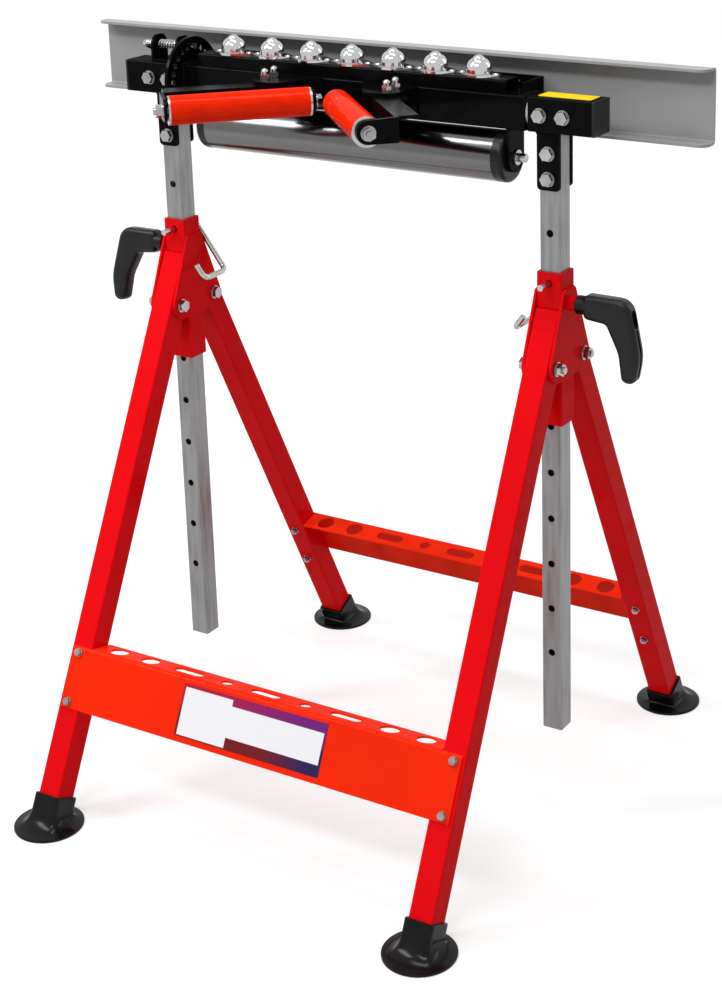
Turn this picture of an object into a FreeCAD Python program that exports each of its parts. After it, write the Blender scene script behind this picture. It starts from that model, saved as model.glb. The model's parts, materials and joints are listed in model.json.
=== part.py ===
import FreeCAD, Part
import math
import os
import re
import Sketcher

# Folding material support stand: two A-shaped trestles, two posts that rise through
# sleeves, and a head that turns about the X axis between two stubs on the posts.
# Frame: +Z up, X along the head, -Y the front, origin on the floor between the feet.

SIZES = {
    # trestles
    "post_spacing": 520,
    "foot_reach": 316,
    "pivot_reach": 33,
    "pivot_below_top": 103,
    "leg_width": 30,
    "leg_wall": 2,
    "leg_crown": 62,
    "leg_side_gap": 0.5,
    "leg_stop_gap": 0.3,
    "tube_round": 2,
    "sleeve_length": 177,
    "gusset_thickness": 3,
    "gusset_below_top": 21,
    "gusset_below_pivot": 18,
    "gusset_top_half": 14,
    "gusset_bottom_half": 55,
    "gusset_corner": 18,
    "weld_nut_width": 15,
    "weld_nut_length": 8,
    # feet
    "foot_radius": 41.5,
    "foot_rim": 3.5,
    "foot_flare_radius": 24,
    "foot_flare_height": 7,
    "foot_flare_round": 20,
    "foot_crown_radius": 15,
    "foot_crown_height": 16,
    "foot_wall": 3,
    "foot_socket_start": 14,
    "foot_socket_end": 36,
    "foot_seat": 12,
    # crossbars
    "crossbar_margin": 21,
    "crossbar_low": 140,
    "crossbar_high": 214,
    "crossbar_sheet": 2,
    "crossbar_bend": 5,
    "flange_width": 32,
    "flange_rise": 13,
    "flange_end_gap": 1.5,
    "tool_hole": 23,
    "tool_small_hole": 14,
    "tool_slot_width": 14,
    "tool_slot_length": 40,
    "tool_pitch": 55,
    "tool_end_inset": 30,
    "tool_end_pitch": 47,
    "screw_end_inset": 9,
    "screw_edge_inset": 7.5,
    # posts
    "post_width": 25,
    "post_wall": 2,
    "post_bottom": 120,
    "post_top_gap": 0.5,
    "post_slide_gap": 0.5,
    "hole_pitch": 56,
    "pin_hole": 8.6,
    "pin_below_top": 12,
    # lock pins
    "pin_diameter": 7,
    "pin_tip": 36,
    "pin_back": 26.5,
    "pin_drop": 72,
    "pin_return": 42.5,
    "pin_hook": 19,
    "pin_lean": 37,
    "pin_bend": 8,
    # clamp levers
    "clamp_below_top": 36,
    "clamp_screw": 8,
    "clamp_tip_gap": 0.3,
    "lever_start": 37,
    "lever_collar": 20,
    "lever_collar_length": 9,
    "lever_top": 14,
    "lever_reach": 106,
    "lever_drop": 83,
    "lever_thickness": 21,
    "lever_bore": 20,
    "lever_edge_round": 4,
    "lever_recess_width": 10,
    "lever_recess_depth": 5,
    "lever_groove": 4,
    "lever_left_turn": 8,
    # head mounts
    "axis_height": 853.5,
    "head_rise": 175.5,
    "beam_width": 38,
    "beam_wall": 2.5,
    "stub_before_post": 23,
    "stub_past_post": 54,
    "stub_plate": 4,
    "stub_bolt_first": 15,
    "stub_bolt_pitch": 28,
    "cap_thickness": 2.5,
    "cap_plug": 10,
    "cap_plug_wall": 2,
    "cap_gap": 0.2,
    "mount_plate_width": 28,
    "mount_plate_length": 64,
    "mount_plate_thickness": 3,
    "mount_plate_corner": 5,
    "mount_bolt_drop": 23,
    "mount_bolt_pitch": 28,
    "axle_diameter": 24,
    "axle_inside_head": 14,
    "axle_inside_stub": 55,
    "axle_gap": 0.3,
    "washer_diameter": 34,
    "washer_gap": 0.3,
    # head tube, index disc and plunger
    "head_gap": 4,
    "head_end_plate": 5,
    "disc_thickness": 4,
    "disc_radius": 50,
    "index_radius": 38.5,
    "index_hole": 8,
    "plunger_diameter": 7,
    "plunger_past_disc": 5,
    "plunger_length": 79,
    "plunger_handle": 26,
    "plunger_handle_lean": 62,
    "plunger_bend": 8,
    "plunger_collar": 12,
    "plunger_collar_length": 3,
    "bracket_sheet": 3,
    "bracket_length": 39,
    "bracket_width": 28,
    "bracket_inset": 4,
    "bracket_crown": 12,
    "bracket_round_share": 0.9,
    "spring_wire": 1.4,
    "spring_diameter": 10.6,
    "spring_turns": 6,
    # ball transfers
    "ball_end_margin": 13.75,
    "ball_diameter": 16,
    "ball_gap": 0.3,
    "ball_height": 14.5,
    "head_end_inset": 25,
    "channel_width": 30,
    "channel_height": 15,
    "channel_sheet": 2,
    "channel_bend": 3,
    "cup_diameter": 28,
    "cup_height": 20,
    "cup_round_share": 0.9,
    "cup_flange": 2.5,
    "cup_flange_width": 34,
    "cup_flange_round": 12,
    "cup_flange_gap": 0.6,
    "cup_lobe": 7,
    "cup_lobe_round": 3,
    # V rollers
    "v_inner_x": 18,
    "v_inner_y": 59,
    "v_angle": 45,
    "v_length": 160,
    "v_diameter": 33,
    "v_bore": 25,
    "v_cap": 5,
    "v_cap_lip": 2,
    "v_side_gap": 1,
    "v_axle": 8,
    "v_axle_gap": 0.3,
    "cradle_sheet": 4,
    "cradle_height": 30,
    "ear_height": 25,
    "ear_round_share": 0.98,
    "cradle_back": 29,
    "cradle_shelf": 22,
    "cradle_tab": 33,
    "cradle_tab_start": 20,
    "cradle_tab_end": 62,
    "v_mount_sheet": 4,
    "v_mount_back": 3,
    "v_mount_inner": 28,
    "v_mount_outer": 99,
    "v_mount_reach": 52,
    "v_mount_corner": 22,
    "v_mount_slant": 30,
    "v_bolt_x": 82,
    "v_bolt_y": 38,
    "v_bolt_pitch": 18,
    # steel roller
    "roller_diameter": 58,
    "roller_drop": 53.5,
    "roller_wall": 2,
    "roller_cap": 13,
    "roller_cap_plug": 8,
    "roller_side_gap": 1,
    "roller_axle": 10,
    "roller_axle_gap": 0.3,
    "roller_axle_end": 12,
    "yoke_thickness": 4,
    "yoke_width": 34,
    "yoke_round_share": 0.98,
    "retainer_diameter": 17,
    "retainer_length": 2,
    # flat rest
    "rest_length": 832,
    "rest_height": 84,
    "rest_depth": 24,
    "rest_sheet": 3,
    "rest_bend": 5,
    "rest_rise": 50,
    "rest_reach": 72,
    "rest_corner": 12,
    "rest_bracket_inset": 53,
    "rest_bracket_width": 60,
    "rest_bracket_height": 34,
    "rest_bracket_sheet": 3,
    "rest_bolt_pitch": 18,
    # fasteners
    "bolt_diameter": 8,
    "bolt_head_width": 13,
    "bolt_head_height": 5.5,
    "bolt_nut_height": 6.5,
    "bolt_washer": 16.5,
    "bolt_washer_thickness": 1.6,
    "bolt_tail": 3,
    "screw_diameter": 5,
    "screw_head_width": 8,
    "screw_head_height": 3.5,
    "screw_nut_height": 4,
    "screw_washer": 10,
    "screw_washer_thickness": 1,
    "screw_tail": 2,
    "dome_nut_width": 10,
    "dome_nut_hexagon": 5,
    "dome_nut_radius": 4.2,
    "dome_nut_height": 12,
    "bolt_gap": 0.3,
    "cut_overrun": 5,
}
FOLLOWS = {
    # sizes that follow from others, in the order in which they build on each other
    "sleeve_top": "axis_height - head_rise",
    "sleeve_bottom": "sleeve_top - sleeve_length",
    "pin_height": "sleeve_top - pin_below_top",
    "clamp_height": "sleeve_top - clamp_below_top",
    "pivot_height": "sleeve_top - pivot_below_top",
    "gusset_top": "sleeve_top - gusset_below_top",
    "gusset_bottom": "pivot_height - gusset_below_pivot",
    "crossbar_length": "post_spacing + crossbar_margin",
    "tool_end_hole": "post_spacing / 2 - leg_width / 2 - tool_end_inset",
    "tool_next_hole": "tool_end_hole - tool_end_pitch",
    "stub_inner": "post_spacing / 2 - stub_before_post",
    "stub_outer": "post_spacing / 2 + stub_past_post",
    "roller_half": "stub_inner - head_gap - head_end_inset",
    "channel_length": "2 * roller_half",
    "ball_pitch": "(channel_length - 2 * ball_end_margin) / ball_count",
    "rest_bracket_x": "stub_inner - head_gap - rest_bracket_inset",
    "rest_top": "axis_height + rest_rise",
}
POST_HOLES_BELOW = 8
POST_HOLES_ABOVE = 1
INDEX_HOLES = 24
INDEX_STEP = 15
BALLS = 7
SPRING_QUARTERS_PER_TURN = 4

# Lever outline past the hub: along the lever's reach, up its drop, and the corner's radius
LEVER_SHARES = (
    (0.613, -0.205, 0.057),
    (0.755, -0.578, 0.377),
    (0.792, -0.952, 0.057),
    (0.943, -1.0, 0.085),
    (1.0, -0.602, 0.566),
    (0.877, 0.163, 0.170),
)
# Bottom of the groove in the lever's outer edge, and the ends of the recess above it
GROOVE_SHARES = ((0.910, -0.24), (0.962, -0.602), (0.935, -0.88))
RECESS_SHARES = (-0.16, -0.035)

V = FreeCAD.Vector
ALONG_X = V(1, 0, 0)
ALONG_Y = V(0, 1, 0)
ALONG_Z = V(0, 0, 1)
TURNS = {
    "X": FreeCAD.Rotation(ALONG_Z, ALONG_X),
    "Y": FreeCAD.Rotation(ALONG_Z, ALONG_Y),
    "Z": FreeCAD.Rotation(),
}

# Lengths that follow from the sizes above
POST_X = "post_spacing / 2"
SLEEVE = "(leg_width + 2 * leg_side_gap)"
BORE = "(post_width + 2 * post_slide_gap)"
TILT = "atan((foot_reach - pivot_reach) / pivot_height)"
LEG_REACH = f"(pivot_height / cos({TILT}))"
BEAM_TOP = "(axis_height + beam_width / 2)"
BEAM_BOTTOM = "(axis_height - beam_width / 2)"
HEAD_RIGHT = "(stub_inner - head_gap)"
HEAD_LEFT = "(stub_inner - head_gap - disc_thickness)"
BOLT_HOLE = "(bolt_diameter / 2 + bolt_gap)"
SCREW_HOLE = "(screw_diameter / 2 + bolt_gap)"
ROLLER_AXIS = "(axis_height - roller_drop)"
YOKE_INNER = "(roller_half + roller_side_gap)"
CHANNEL_TOP = f"({BEAM_TOP} + channel_height)"

doc = FreeCAD.newDocument("support_stand")
sheet = doc.addObject("Spreadsheet::Sheet", "Sizes")
cells = {**SIZES, "ball_count": BALLS, **{alias: f"={rule}" for alias, rule in FOLLOWS.items()}}
for row, (alias, content) in enumerate(cells.items(), start=1):
    sheet.set(f"A{row}", alias)
    sheet.set(f"B{row}", str(content))
    sheet.setAlias(f"B{row}", alias)
doc.recompute()
nodes = []


def expr(text):
    """An expression of FreeCAD's from one in bare names of sizes."""
    return re.sub(r"[a-z][a-z_]*", lambda m: f"Sizes.{m[0]}" if m[0] in cells else m[0], text)


def value(text):
    """The number that an expression gives now."""
    result = sheet.evalExpression(expr(text))
    return float(getattr(result, "Value", result))


def bind(obj, sizes):
    for path, text in sizes.items():
        obj.setExpression(path, expr(text))
    return obj


def place(obj, x="0", y="0", z="0", turn=None):
    """Moves an object to a point given as expressions, after a turn."""
    obj.Placement = FreeCAD.Placement(V(), turn or obj.Placement.Rotation)
    return bind(obj, {"Placement.Base.x": x, "Placement.Base.y": y, "Placement.Base.z": z})


def lean(obj, axis, angle, x="0", y="0", z="0"):
    """Turns an object about an axis by an angle given as an expression, then moves it."""
    place(obj, x, y, z, FreeCAD.Rotation(axis, 1))
    return bind(obj, {"Placement.Rotation.Angle": angle})


def box(name, x, y, z):
    """A block between pairs of expressions."""
    solid = doc.addObject("Part::Box", name)
    bind(solid, {
        "Length": f"{x[1]} - ({x[0]})",
        "Width": f"{y[1]} - ({y[0]})",
        "Height": f"{z[1]} - ({z[0]})",
    })
    return place(solid, x[0], y[0], z[0])


def middle(width, centre="0"):
    """The two ends of a width about a centre."""
    return f"{centre} - {width} / 2", f"{centre} + {width} / 2"


def rod(name, axis, start, radius, length):
    """A cylinder along an axis from its start point."""
    solid = doc.addObject("Part::Cylinder", name)
    bind(solid, {"Radius": radius, "Height": length})
    return place(solid, *start, turn=TURNS[axis])


def hexagon(name, axis, start, width, length):
    """A six-sided prism, given by its width across flats."""
    solid = doc.addObject("Part::Prism", name)
    solid.Polygon = 6
    bind(solid, {"Circumradius": f"{width} / sqrt(3)", "Height": length})
    return place(solid, *start, turn=TURNS[axis])


def fuse(name, solids):
    result = doc.addObject("Part::MultiFuse", name)
    result.Shapes = solids
    result.Refine = True
    return result


def cut(name, base, tools):
    tool = tools[0]
    if len(tools) > 1:
        tool = fuse(f"{name}_tools", tools)
        tool.Refine = False
    result = doc.addObject("Part::Cut", name)
    result.Base = base
    result.Tool = tool
    return result


def group(name, solids):
    result = doc.addObject("Part::Compound", name)
    result.Links = solids
    return result


def mirror(name, source, normal):
    result = doc.addObject("Part::Mirroring", name)
    result.Source = source
    result.Normal = normal
    return result


def node(obj):
    """Marks an object as one finished piece, named by its label."""
    obj.Label = obj.Name
    nodes.append(obj)
    return obj


def pair(obj, normal, name):
    """A finished piece and its mirror image."""
    return node(obj), node(mirror(name, obj, normal))


def origin_plane(body, role):
    return next(f for f in body.Origin.OriginFeatures if f.Role == role)


def sketch_in(body, name, role, offset="0"):
    sketch = body.newObject("Sketcher::SketchObject", name)
    sketch.AttachmentSupport = (origin_plane(body, role), [""])
    sketch.MapMode = "FlatFace"
    bind(sketch, {"AttachmentOffset.Base.z": offset})
    return sketch


def pin_point(sketch, geometry, point, x, y):
    """Holds a point of the sketch at two expressions."""
    for kind, text in (("DistanceX", x), ("DistanceY", y)):
        rule = Sketcher.Constraint(kind, -1, 1, geometry, point, value(text))
        sketch.setExpression(f"Constraints[{sketch.addConstraint(rule)}]", expr(text))


def draw(sketch, corners, closed=True):
    """Draws lines through corners (x, y) or (x, y, radius), with an arc where a radius is given."""
    spots = [V(value(c[0]), value(c[1]), 0) for c in corners]
    radii = [value(c[2]) if len(c) > 2 else 0 for c in corners]
    count = len(corners)
    ways = [(spots[(i + 1) % count] - spots[i]).normalize() for i in range(count)]
    trims = []
    for i in range(count):
        turn = ways[i - 1].getAngle(ways[i])
        trims.append(radii[i] * math.tan(turn / 2) if radii[i] else 0)
    lines = []
    for i in range(count if closed else count - 1):
        start = spots[i] + ways[i] * trims[i]
        end = spots[(i + 1) % count] - ways[i] * trims[(i + 1) % count]
        lines.append(sketch.addGeometry(Part.LineSegment(start, end), False))
    for i, corner in enumerate(corners):
        before = lines[i - 1] if closed or i > 0 else None
        after = lines[i] if i < len(lines) else None
        if radii[i]:
            join_round(sketch, spots[i], ways[i - 1], ways[i], trims[i], corner, before, after)
            continue
        if before is not None and after is not None:
            sketch.addConstraint(Sketcher.Constraint("Coincident", before, 2, after, 1))
        held = (after, 1) if after is not None else (before, 2)
        pin_point(sketch, *held, corner[0], corner[1])


def join_round(sketch, spot, way_in, way_out, trim, corner, before, after):
    """Joins two lines of a sketch by a tangent arc, with their corner held as a point."""
    radius = value(corner[2])
    left = way_in.cross(way_out).z > 0
    side = V(-way_in.y, way_in.x, 0) * (1 if left else -1)
    centre = spot - way_in * trim + side * radius
    start = spot - way_in * trim - centre
    end = spot + way_out * trim - centre
    first, last = (start, end) if left else (end, start)
    circle = Part.Circle(centre, ALONG_Z, radius)
    angles = math.atan2(first.y, first.x), math.atan2(last.y, last.x)
    arc = sketch.addGeometry(Part.ArcOfCircle(circle, *angles), False)
    point = sketch.addGeometry(Part.Point(spot), True)
    pin_point(sketch, point, 1, corner[0], corner[1])
    for line in (before, after):
        sketch.addConstraint(Sketcher.Constraint("PointOnObject", point, 1, line))
    arc_in, arc_out = (1, 2) if left else (2, 1)
    sketch.addConstraint(Sketcher.Constraint("Tangent", before, 2, arc, arc_in))
    sketch.addConstraint(Sketcher.Constraint("Tangent", arc, arc_out, after, 1))
    rule = sketch.addConstraint(Sketcher.Constraint("Radius", arc, radius))
    sketch.setExpression(f"Constraints[{rule}]", expr(corner[2]))


def plate(name, role, corners, start, length):
    """A body padded from an outline; start and length run along the plane's normal."""
    body = doc.addObject("PartDesign::Body", name)
    sketch = sketch_in(body, f"{name}_outline", role, start)
    draw(sketch, corners)
    pad = body.newObject("PartDesign::Pad", f"{name}_pad")
    pad.Profile = sketch
    bind(pad, {"Length": length})
    return body


def square_bar(name, role, width, centre, ends):
    """A square bar with rounded long edges, between two ends along the plane's normal."""
    half = f"{width} / 2"
    signs = (("-", "-"), ("+", "-"), ("+", "+"), ("-", "+"))
    corners = [(f"{centre[0]} {a} {half}", f"{centre[1]} {b} {half}", "tube_round") for a, b in signs]
    return plate(name, role, corners, ends[0], f"{ends[1]} - ({ends[0]})")


def turned(name, corners):
    """A body turned about the Z axis from an outline in radius and height."""
    body = doc.addObject("PartDesign::Body", name)
    sketch = sketch_in(body, f"{name}_outline", "XZ_Plane")
    draw(sketch, corners)
    turn = body.newObject("PartDesign::Revolution", f"{name}_turn")
    turn.Profile = sketch
    turn.ReferenceAxis = (sketch, ["V_Axis"])
    return body


def bent_rod(name, corners, diameter, start):
    """A round rod along a path in the YZ plane that starts along Y."""
    body = doc.addObject("PartDesign::Body", name)
    path = sketch_in(body, f"{name}_path", "YZ_Plane")
    draw(path, corners, closed=False)
    section = sketch_in(body, f"{name}_section", "XZ_Plane", start)
    circle = section.addGeometry(Part.Circle(V(), ALONG_Z, value(diameter) / 2), False)
    section.addConstraint(Sketcher.Constraint("Coincident", circle, 3, -1, 1))
    rule = section.addConstraint(Sketcher.Constraint("Radius", circle, value(diameter) / 2))
    section.setExpression(f"Constraints[{rule}]", expr(f"{diameter} / 2"))
    pipe = body.newObject("PartDesign::AdditivePipe", f"{name}_pipe")
    pipe.Profile = section
    pipe.Spine = path
    return body


def bolt(name, axis, start, grip, kind="bolt"):
    """A hexagon bolt with washer and nut; start is the face under the head."""
    inner = f"{kind}_washer_thickness"
    end = f"({grip} + {inner} + {kind}_nut_height)"
    solids = [
        rod(f"{name}_washer", "Z", ("0", "0", f"-{inner}"), f"{kind}_washer / 2", inner),
        hexagon(f"{name}_head", "Z", ("0", "0", f"-{inner} - {kind}_head_height"),
                f"{kind}_head_width", f"{kind}_head_height"),
        rod(f"{name}_shank", "Z", ("0", "0", f"-{inner}"), f"{kind}_diameter / 2",
            f"{end} + {inner} + {kind}_tail"),
        rod(f"{name}_back", "Z", ("0", "0", grip), f"{kind}_washer / 2", inner),
        hexagon(f"{name}_nut", "Z", ("0", "0", f"{grip} + {inner}"),
                f"{kind}_head_width", f"{kind}_nut_height"),
    ]
    return place(fuse(name, solids), *start, turn=TURNS[axis])


def dome_bolt(name, start, grip):
    """An upright screw with a washer and a dome nut on top; start is the face under the head."""
    inner = "screw_washer_thickness"
    seat = f"({grip} + {inner})"
    crown = f"({seat} + dome_nut_height - dome_nut_radius)"
    dome = doc.addObject("Part::Sphere", f"{name}_dome")
    bind(dome, {"Radius": "dome_nut_radius"})
    place(dome, "0", "0", crown)
    solids = [
        hexagon(f"{name}_head", "Z", ("0", "0", "-screw_head_height"), "screw_head_width", "screw_head_height"),
        rod(f"{name}_shank", "Z", ("0", "0", "-screw_head_height"), "screw_diameter / 2",
            f"screw_head_height + {crown}"),
        rod(f"{name}_back", "Z", ("0", "0", grip), "screw_washer / 2", inner),
        hexagon(f"{name}_nut", "Z", ("0", "0", seat), "dome_nut_width", "dome_nut_hexagon"),
        rod(f"{name}_neck", "Z", ("0", "0", seat), "dome_nut_radius", f"{crown} - {seat}"),
        dome,
    ]
    return place(fuse(name, solids), *start, turn=TURNS["Z"])


def make_sleeve():
    """Square sleeve with its two gusset plates and the weld nut of the clamp."""
    outer = square_bar("sleeve_outer", "XY_Plane", SLEEVE, (POST_X, "0"), ("sleeve_bottom", "sleeve_top"))
    outline = [
        ("-gusset_bottom_half", "gusset_bottom", "gusset_corner"),
        ("gusset_bottom_half", "gusset_bottom", "gusset_corner"),
        ("gusset_top_half", "gusset_top"),
        ("-gusset_top_half", "gusset_top"),
    ]
    near = plate("gusset_outer", "YZ_Plane", outline, f"{POST_X} + {SLEEVE} / 2", "gusset_thickness")
    far = plate("gusset_inner", "YZ_Plane", outline,
                f"{POST_X} - {SLEEVE} / 2 - gusset_thickness", "gusset_thickness")
    nut_face = f"{POST_X} + {SLEEVE} / 2 + gusset_thickness"
    nut = hexagon("weld_nut", "X", (nut_face, "0", "clamp_height"), "weld_nut_width", "weld_nut_length")
    bore = box("sleeve_bore", middle(BORE, POST_X), middle(BORE),
               ("sleeve_bottom - cut_overrun", "sleeve_top + cut_overrun"))
    tools = [bore]
    tools.append(rod("sleeve_pin_hole", "Y", (POST_X, f"-{SLEEVE}", "pin_height"),
                     "pin_hole / 2", f"2 * {SLEEVE}"))
    tools.append(rod("sleeve_clamp_hole", "X", (POST_X, "0", "clamp_height"),
                     "clamp_screw / 2 + bolt_gap", "post_spacing / 2"))
    for side in ("-", ""):
        tools.append(rod("gusset_hole", "X", (f"{POST_X} - {SLEEVE}", f"{side}pivot_reach", "pivot_height"),
                         BOLT_HOLE, f"2 * {SLEEVE}"))
    weldment = fuse("sleeve_weldment", [outer, near, far, nut])
    pair(cut("right_sleeve", weldment, tools), ALONG_X, "left_sleeve")


def make_pivot_bolts():
    """The four bolts that the legs fold about."""
    reach = f"{SLEEVE} / 2 + gusset_thickness"
    bolts = []
    for side in ("-", ""):
        start = (f"{POST_X} - ({reach})", f"{side}pivot_reach", "pivot_height")
        right = bolt("pivot_bolt", "X", start, f"2 * ({reach})")
        bolts += [right, mirror("pivot_bolt_left", right, ALONG_X)]
    node(group("leg_pivot_bolts", bolts))


def on_leg(obj, x="0"):
    """Carries a piece drawn along a front leg, with the pivot as its origin, to its place."""
    return lean(obj, ALONG_X, f"-{TILT}", x, "-pivot_reach", "pivot_height")


def crossbar_screw_places():
    """Heights of the two screw rows along the leg, from the pivot."""
    return (f"crossbar_low + screw_edge_inset - {LEG_REACH}",
            f"crossbar_high - screw_edge_inset - {LEG_REACH}")


def make_legs():
    """Square tube legs, cut off upright where they butt against the sleeve."""
    lower = f"foot_seat + leg_stop_gap - {LEG_REACH}"
    outer = square_bar("leg_outer", "XY_Plane", "leg_width", ("0", "0"), (lower, "leg_crown"))
    inside = "(leg_width - 2 * leg_wall)"
    bore = box("leg_bore", middle(inside), middle(inside), (f"{lower} - cut_overrun", "leg_crown + cut_overrun"))
    stop = f"(pivot_reach - {SLEEVE} / 2 - leg_stop_gap)"
    top = box("leg_top_cut", middle("2 * leg_width"), ("0", "2 * leg_width"), ("-leg_width", "2 * leg_crown"))
    lean(top, ALONG_X, TILT, "-leg_width",
         f"{stop} * cos({TILT}) + leg_width * sin({TILT})",
         f"{stop} * sin({TILT}) - leg_width * cos({TILT})")
    tools = [bore, top]
    tools.append(rod("leg_pivot_hole", "X", ("-leg_width", "0", "0"), BOLT_HOLE, "2 * leg_width"))
    for height in crossbar_screw_places():
        tools.append(rod("leg_screw_hole", "Y", (screw_from_post(), "-leg_width", height),
                         SCREW_HOLE, "2 * leg_width"))
    front_right = on_leg(cut("front_right_leg", outer, tools), POST_X)
    front_right, front_left = pair(front_right, ALONG_X, "front_left_leg")
    node(mirror("rear_right_leg", front_right, ALONG_Y))
    node(mirror("rear_left_leg", front_left, ALONG_Y))


def screw_from_post():
    """Where the crossbar screws stand, across the leg from its middle."""
    return f"(crossbar_length / 2 - screw_end_inset - {POST_X})"


def make_feet():
    """Flared rubber feet with a leaning square socket for the leg."""
    base = turned("foot_base", [
        ("0", "0"),
        ("foot_radius", "0"),
        ("foot_radius", "foot_rim"),
        ("foot_flare_radius", "foot_flare_height", "foot_flare_round"),
        ("foot_crown_radius", "foot_crown_height"),
        ("0", "foot_crown_height"),
    ])
    width = "(leg_width + 2 * leg_stop_gap + 2 * foot_wall)"
    socket = box("foot_socket", middle(width), middle(width), ("foot_socket_start", "foot_socket_end"))
    lean(socket, ALONG_X, f"-{TILT}", f"-{width} / 2",
         f"-{width} / 2 * cos({TILT}) + foot_socket_start * sin({TILT})",
         f"{width} / 2 * sin({TILT}) + foot_socket_start * cos({TILT})")
    room = "(leg_width + 2 * leg_stop_gap)"
    hollow = box("foot_hollow", middle(room), middle(room), ("foot_seat", "2 * foot_socket_end"))
    lean(hollow, ALONG_X, f"-{TILT}", f"-{room} / 2",
         f"-{room} / 2 * cos({TILT}) + foot_seat * sin({TILT})",
         f"{room} / 2 * sin({TILT}) + foot_seat * cos({TILT})")
    foot = cut("front_right_foot", fuse("foot_solid", [base, socket]), [hollow])
    place(foot, POST_X, "-foot_reach", "0")
    front_right, front_left = pair(foot, ALONG_X, "front_left_foot")
    node(mirror("rear_right_foot", front_right, ALONG_Y))
    node(mirror("rear_left_foot", front_left, ALONG_Y))


def make_crossbars():
    """Folded sheet crossbars: a deep plate on the legs and a flange with tool holes between them."""
    face = "(-leg_width / 2)"
    outer = f"({face} - crossbar_sheet)"
    low = f"(crossbar_low - {LEG_REACH})"
    high = f"(crossbar_high - {LEG_REACH})"
    run = "(flange_width * cos(flange_rise))"
    rise = "(flange_width * sin(flange_rise))"
    outline = [
        (outer, low),
        (face, low),
        (face, f"{high} - crossbar_sheet"),
        (f"{face} + {run}", f"{high} - crossbar_sheet + {rise}"),
        (f"{face} + {run}", f"{high} + {rise}"),
        (outer, high, "crossbar_bend"),
    ]
    sheet_body = plate("crossbar_sheet_body", "YZ_Plane", outline, "-crossbar_length / 2", "crossbar_length")
    between = f"({POST_X} - leg_width / 2 - flange_end_gap)"
    tools = []
    for side in ("-", ""):
        near, far = f"{side}{between}", f"{side}crossbar_length"
        ends = (far, near) if side else (near, far)
        tools.append(box("flange_end_cut", ends, (face, f"{face} + 2 * flange_width"),
                         (f"{high} - 2 * crossbar_sheet - crossbar_bend", f"{high} + flange_width")))
    tools += tool_openings(f"{face} + {run} / 2", f"{high} - flange_width", "3 * flange_width")
    for side in ("-", ""):
        for height in crossbar_screw_places():
            start = (f"{side}(crossbar_length / 2 - screw_end_inset)", "-leg_width", height)
            tools.append(rod("crossbar_screw_hole", "Y", start, SCREW_HOLE, "leg_width"))
    bar = on_leg(cut("front_crossbar", sheet_body, tools))
    pair(bar, ALONG_Y, "rear_crossbar")


def tool_openings(y, z, depth):
    """Round holes and slots along the flange, the same to both sides of the middle."""
    def hole(x, diameter):
        return rod("tool_hole_cut", "Z", (x, y, z), f"{diameter} / 2", depth)

    def slot(x):
        straight = "(tool_slot_length - tool_slot_width)"
        solids = [box("slot_middle", middle(straight, x), middle("tool_slot_width", y), (z, f"{z} + {depth}"))]
        for side in ("-", "+"):
            solids.append(hole(f"{x} {side} {straight} / 2", "tool_slot_width"))
        return fuse("tool_slot", solids)

    openings = [slot("0")]
    for side in ("-", ""):
        openings.append(hole(f"{side}tool_pitch", "tool_small_hole"))
        openings.append(slot(f"{side}2 * tool_pitch"))
        openings.append(hole(f"{side}tool_next_hole", "tool_hole"))
        openings.append(hole(f"{side}tool_end_hole", "tool_hole"))
    return openings


def make_crossbar_screws():
    """Screws through the crossbar plate and the leg, with nuts on the leg's inner face."""
    screws = []
    for side in ("-", ""):
        for height in crossbar_screw_places():
            start = (f"{side}(crossbar_length / 2 - screw_end_inset)",
                     "-leg_width / 2 - crossbar_sheet", height)
            screws.append(bolt("crossbar_screw", "Y", start, "leg_width + crossbar_sheet", "screw"))
    front = on_leg(group("front_crossbar_screws", screws))
    pair(front, ALONG_Y, "rear_crossbar_screws")


def make_posts():
    """Square posts with the height holes and the two bolt holes of the head mount."""
    ends = ("post_bottom", f"{BEAM_BOTTOM} - post_top_gap")
    outer = square_bar("post_outer", "XY_Plane", "post_width", (POST_X, "0"), ends)
    inside = "(post_width - 2 * post_wall)"
    bore = box("post_bore", middle(inside, POST_X), middle(inside),
               (f"{ends[0]} - cut_overrun", f"{ends[1]} + cut_overrun"))
    tools = [bore]
    for step in range(-POST_HOLES_BELOW, POST_HOLES_ABOVE + 1):
        start = (POST_X, "-post_width", f"pin_height + {step} * hole_pitch")
        tools.append(rod("post_hole", "Y", start, "pin_hole / 2", "2 * post_width"))
    for height in mount_bolt_heights():
        tools.append(rod("post_bolt_hole", "Y", (POST_X, "-post_width", height), BOLT_HOLE, "2 * post_width"))
    pair(cut("right_post", outer, tools), ALONG_X, "left_post")


def mount_bolt_heights():
    return (f"{BEAM_BOTTOM} - mount_bolt_drop", f"{BEAM_BOTTOM} - mount_bolt_drop - mount_bolt_pitch")


def stub_bolt_places():
    return ("stub_inner + stub_bolt_first", "stub_inner + stub_bolt_first + stub_bolt_pitch")


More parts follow.
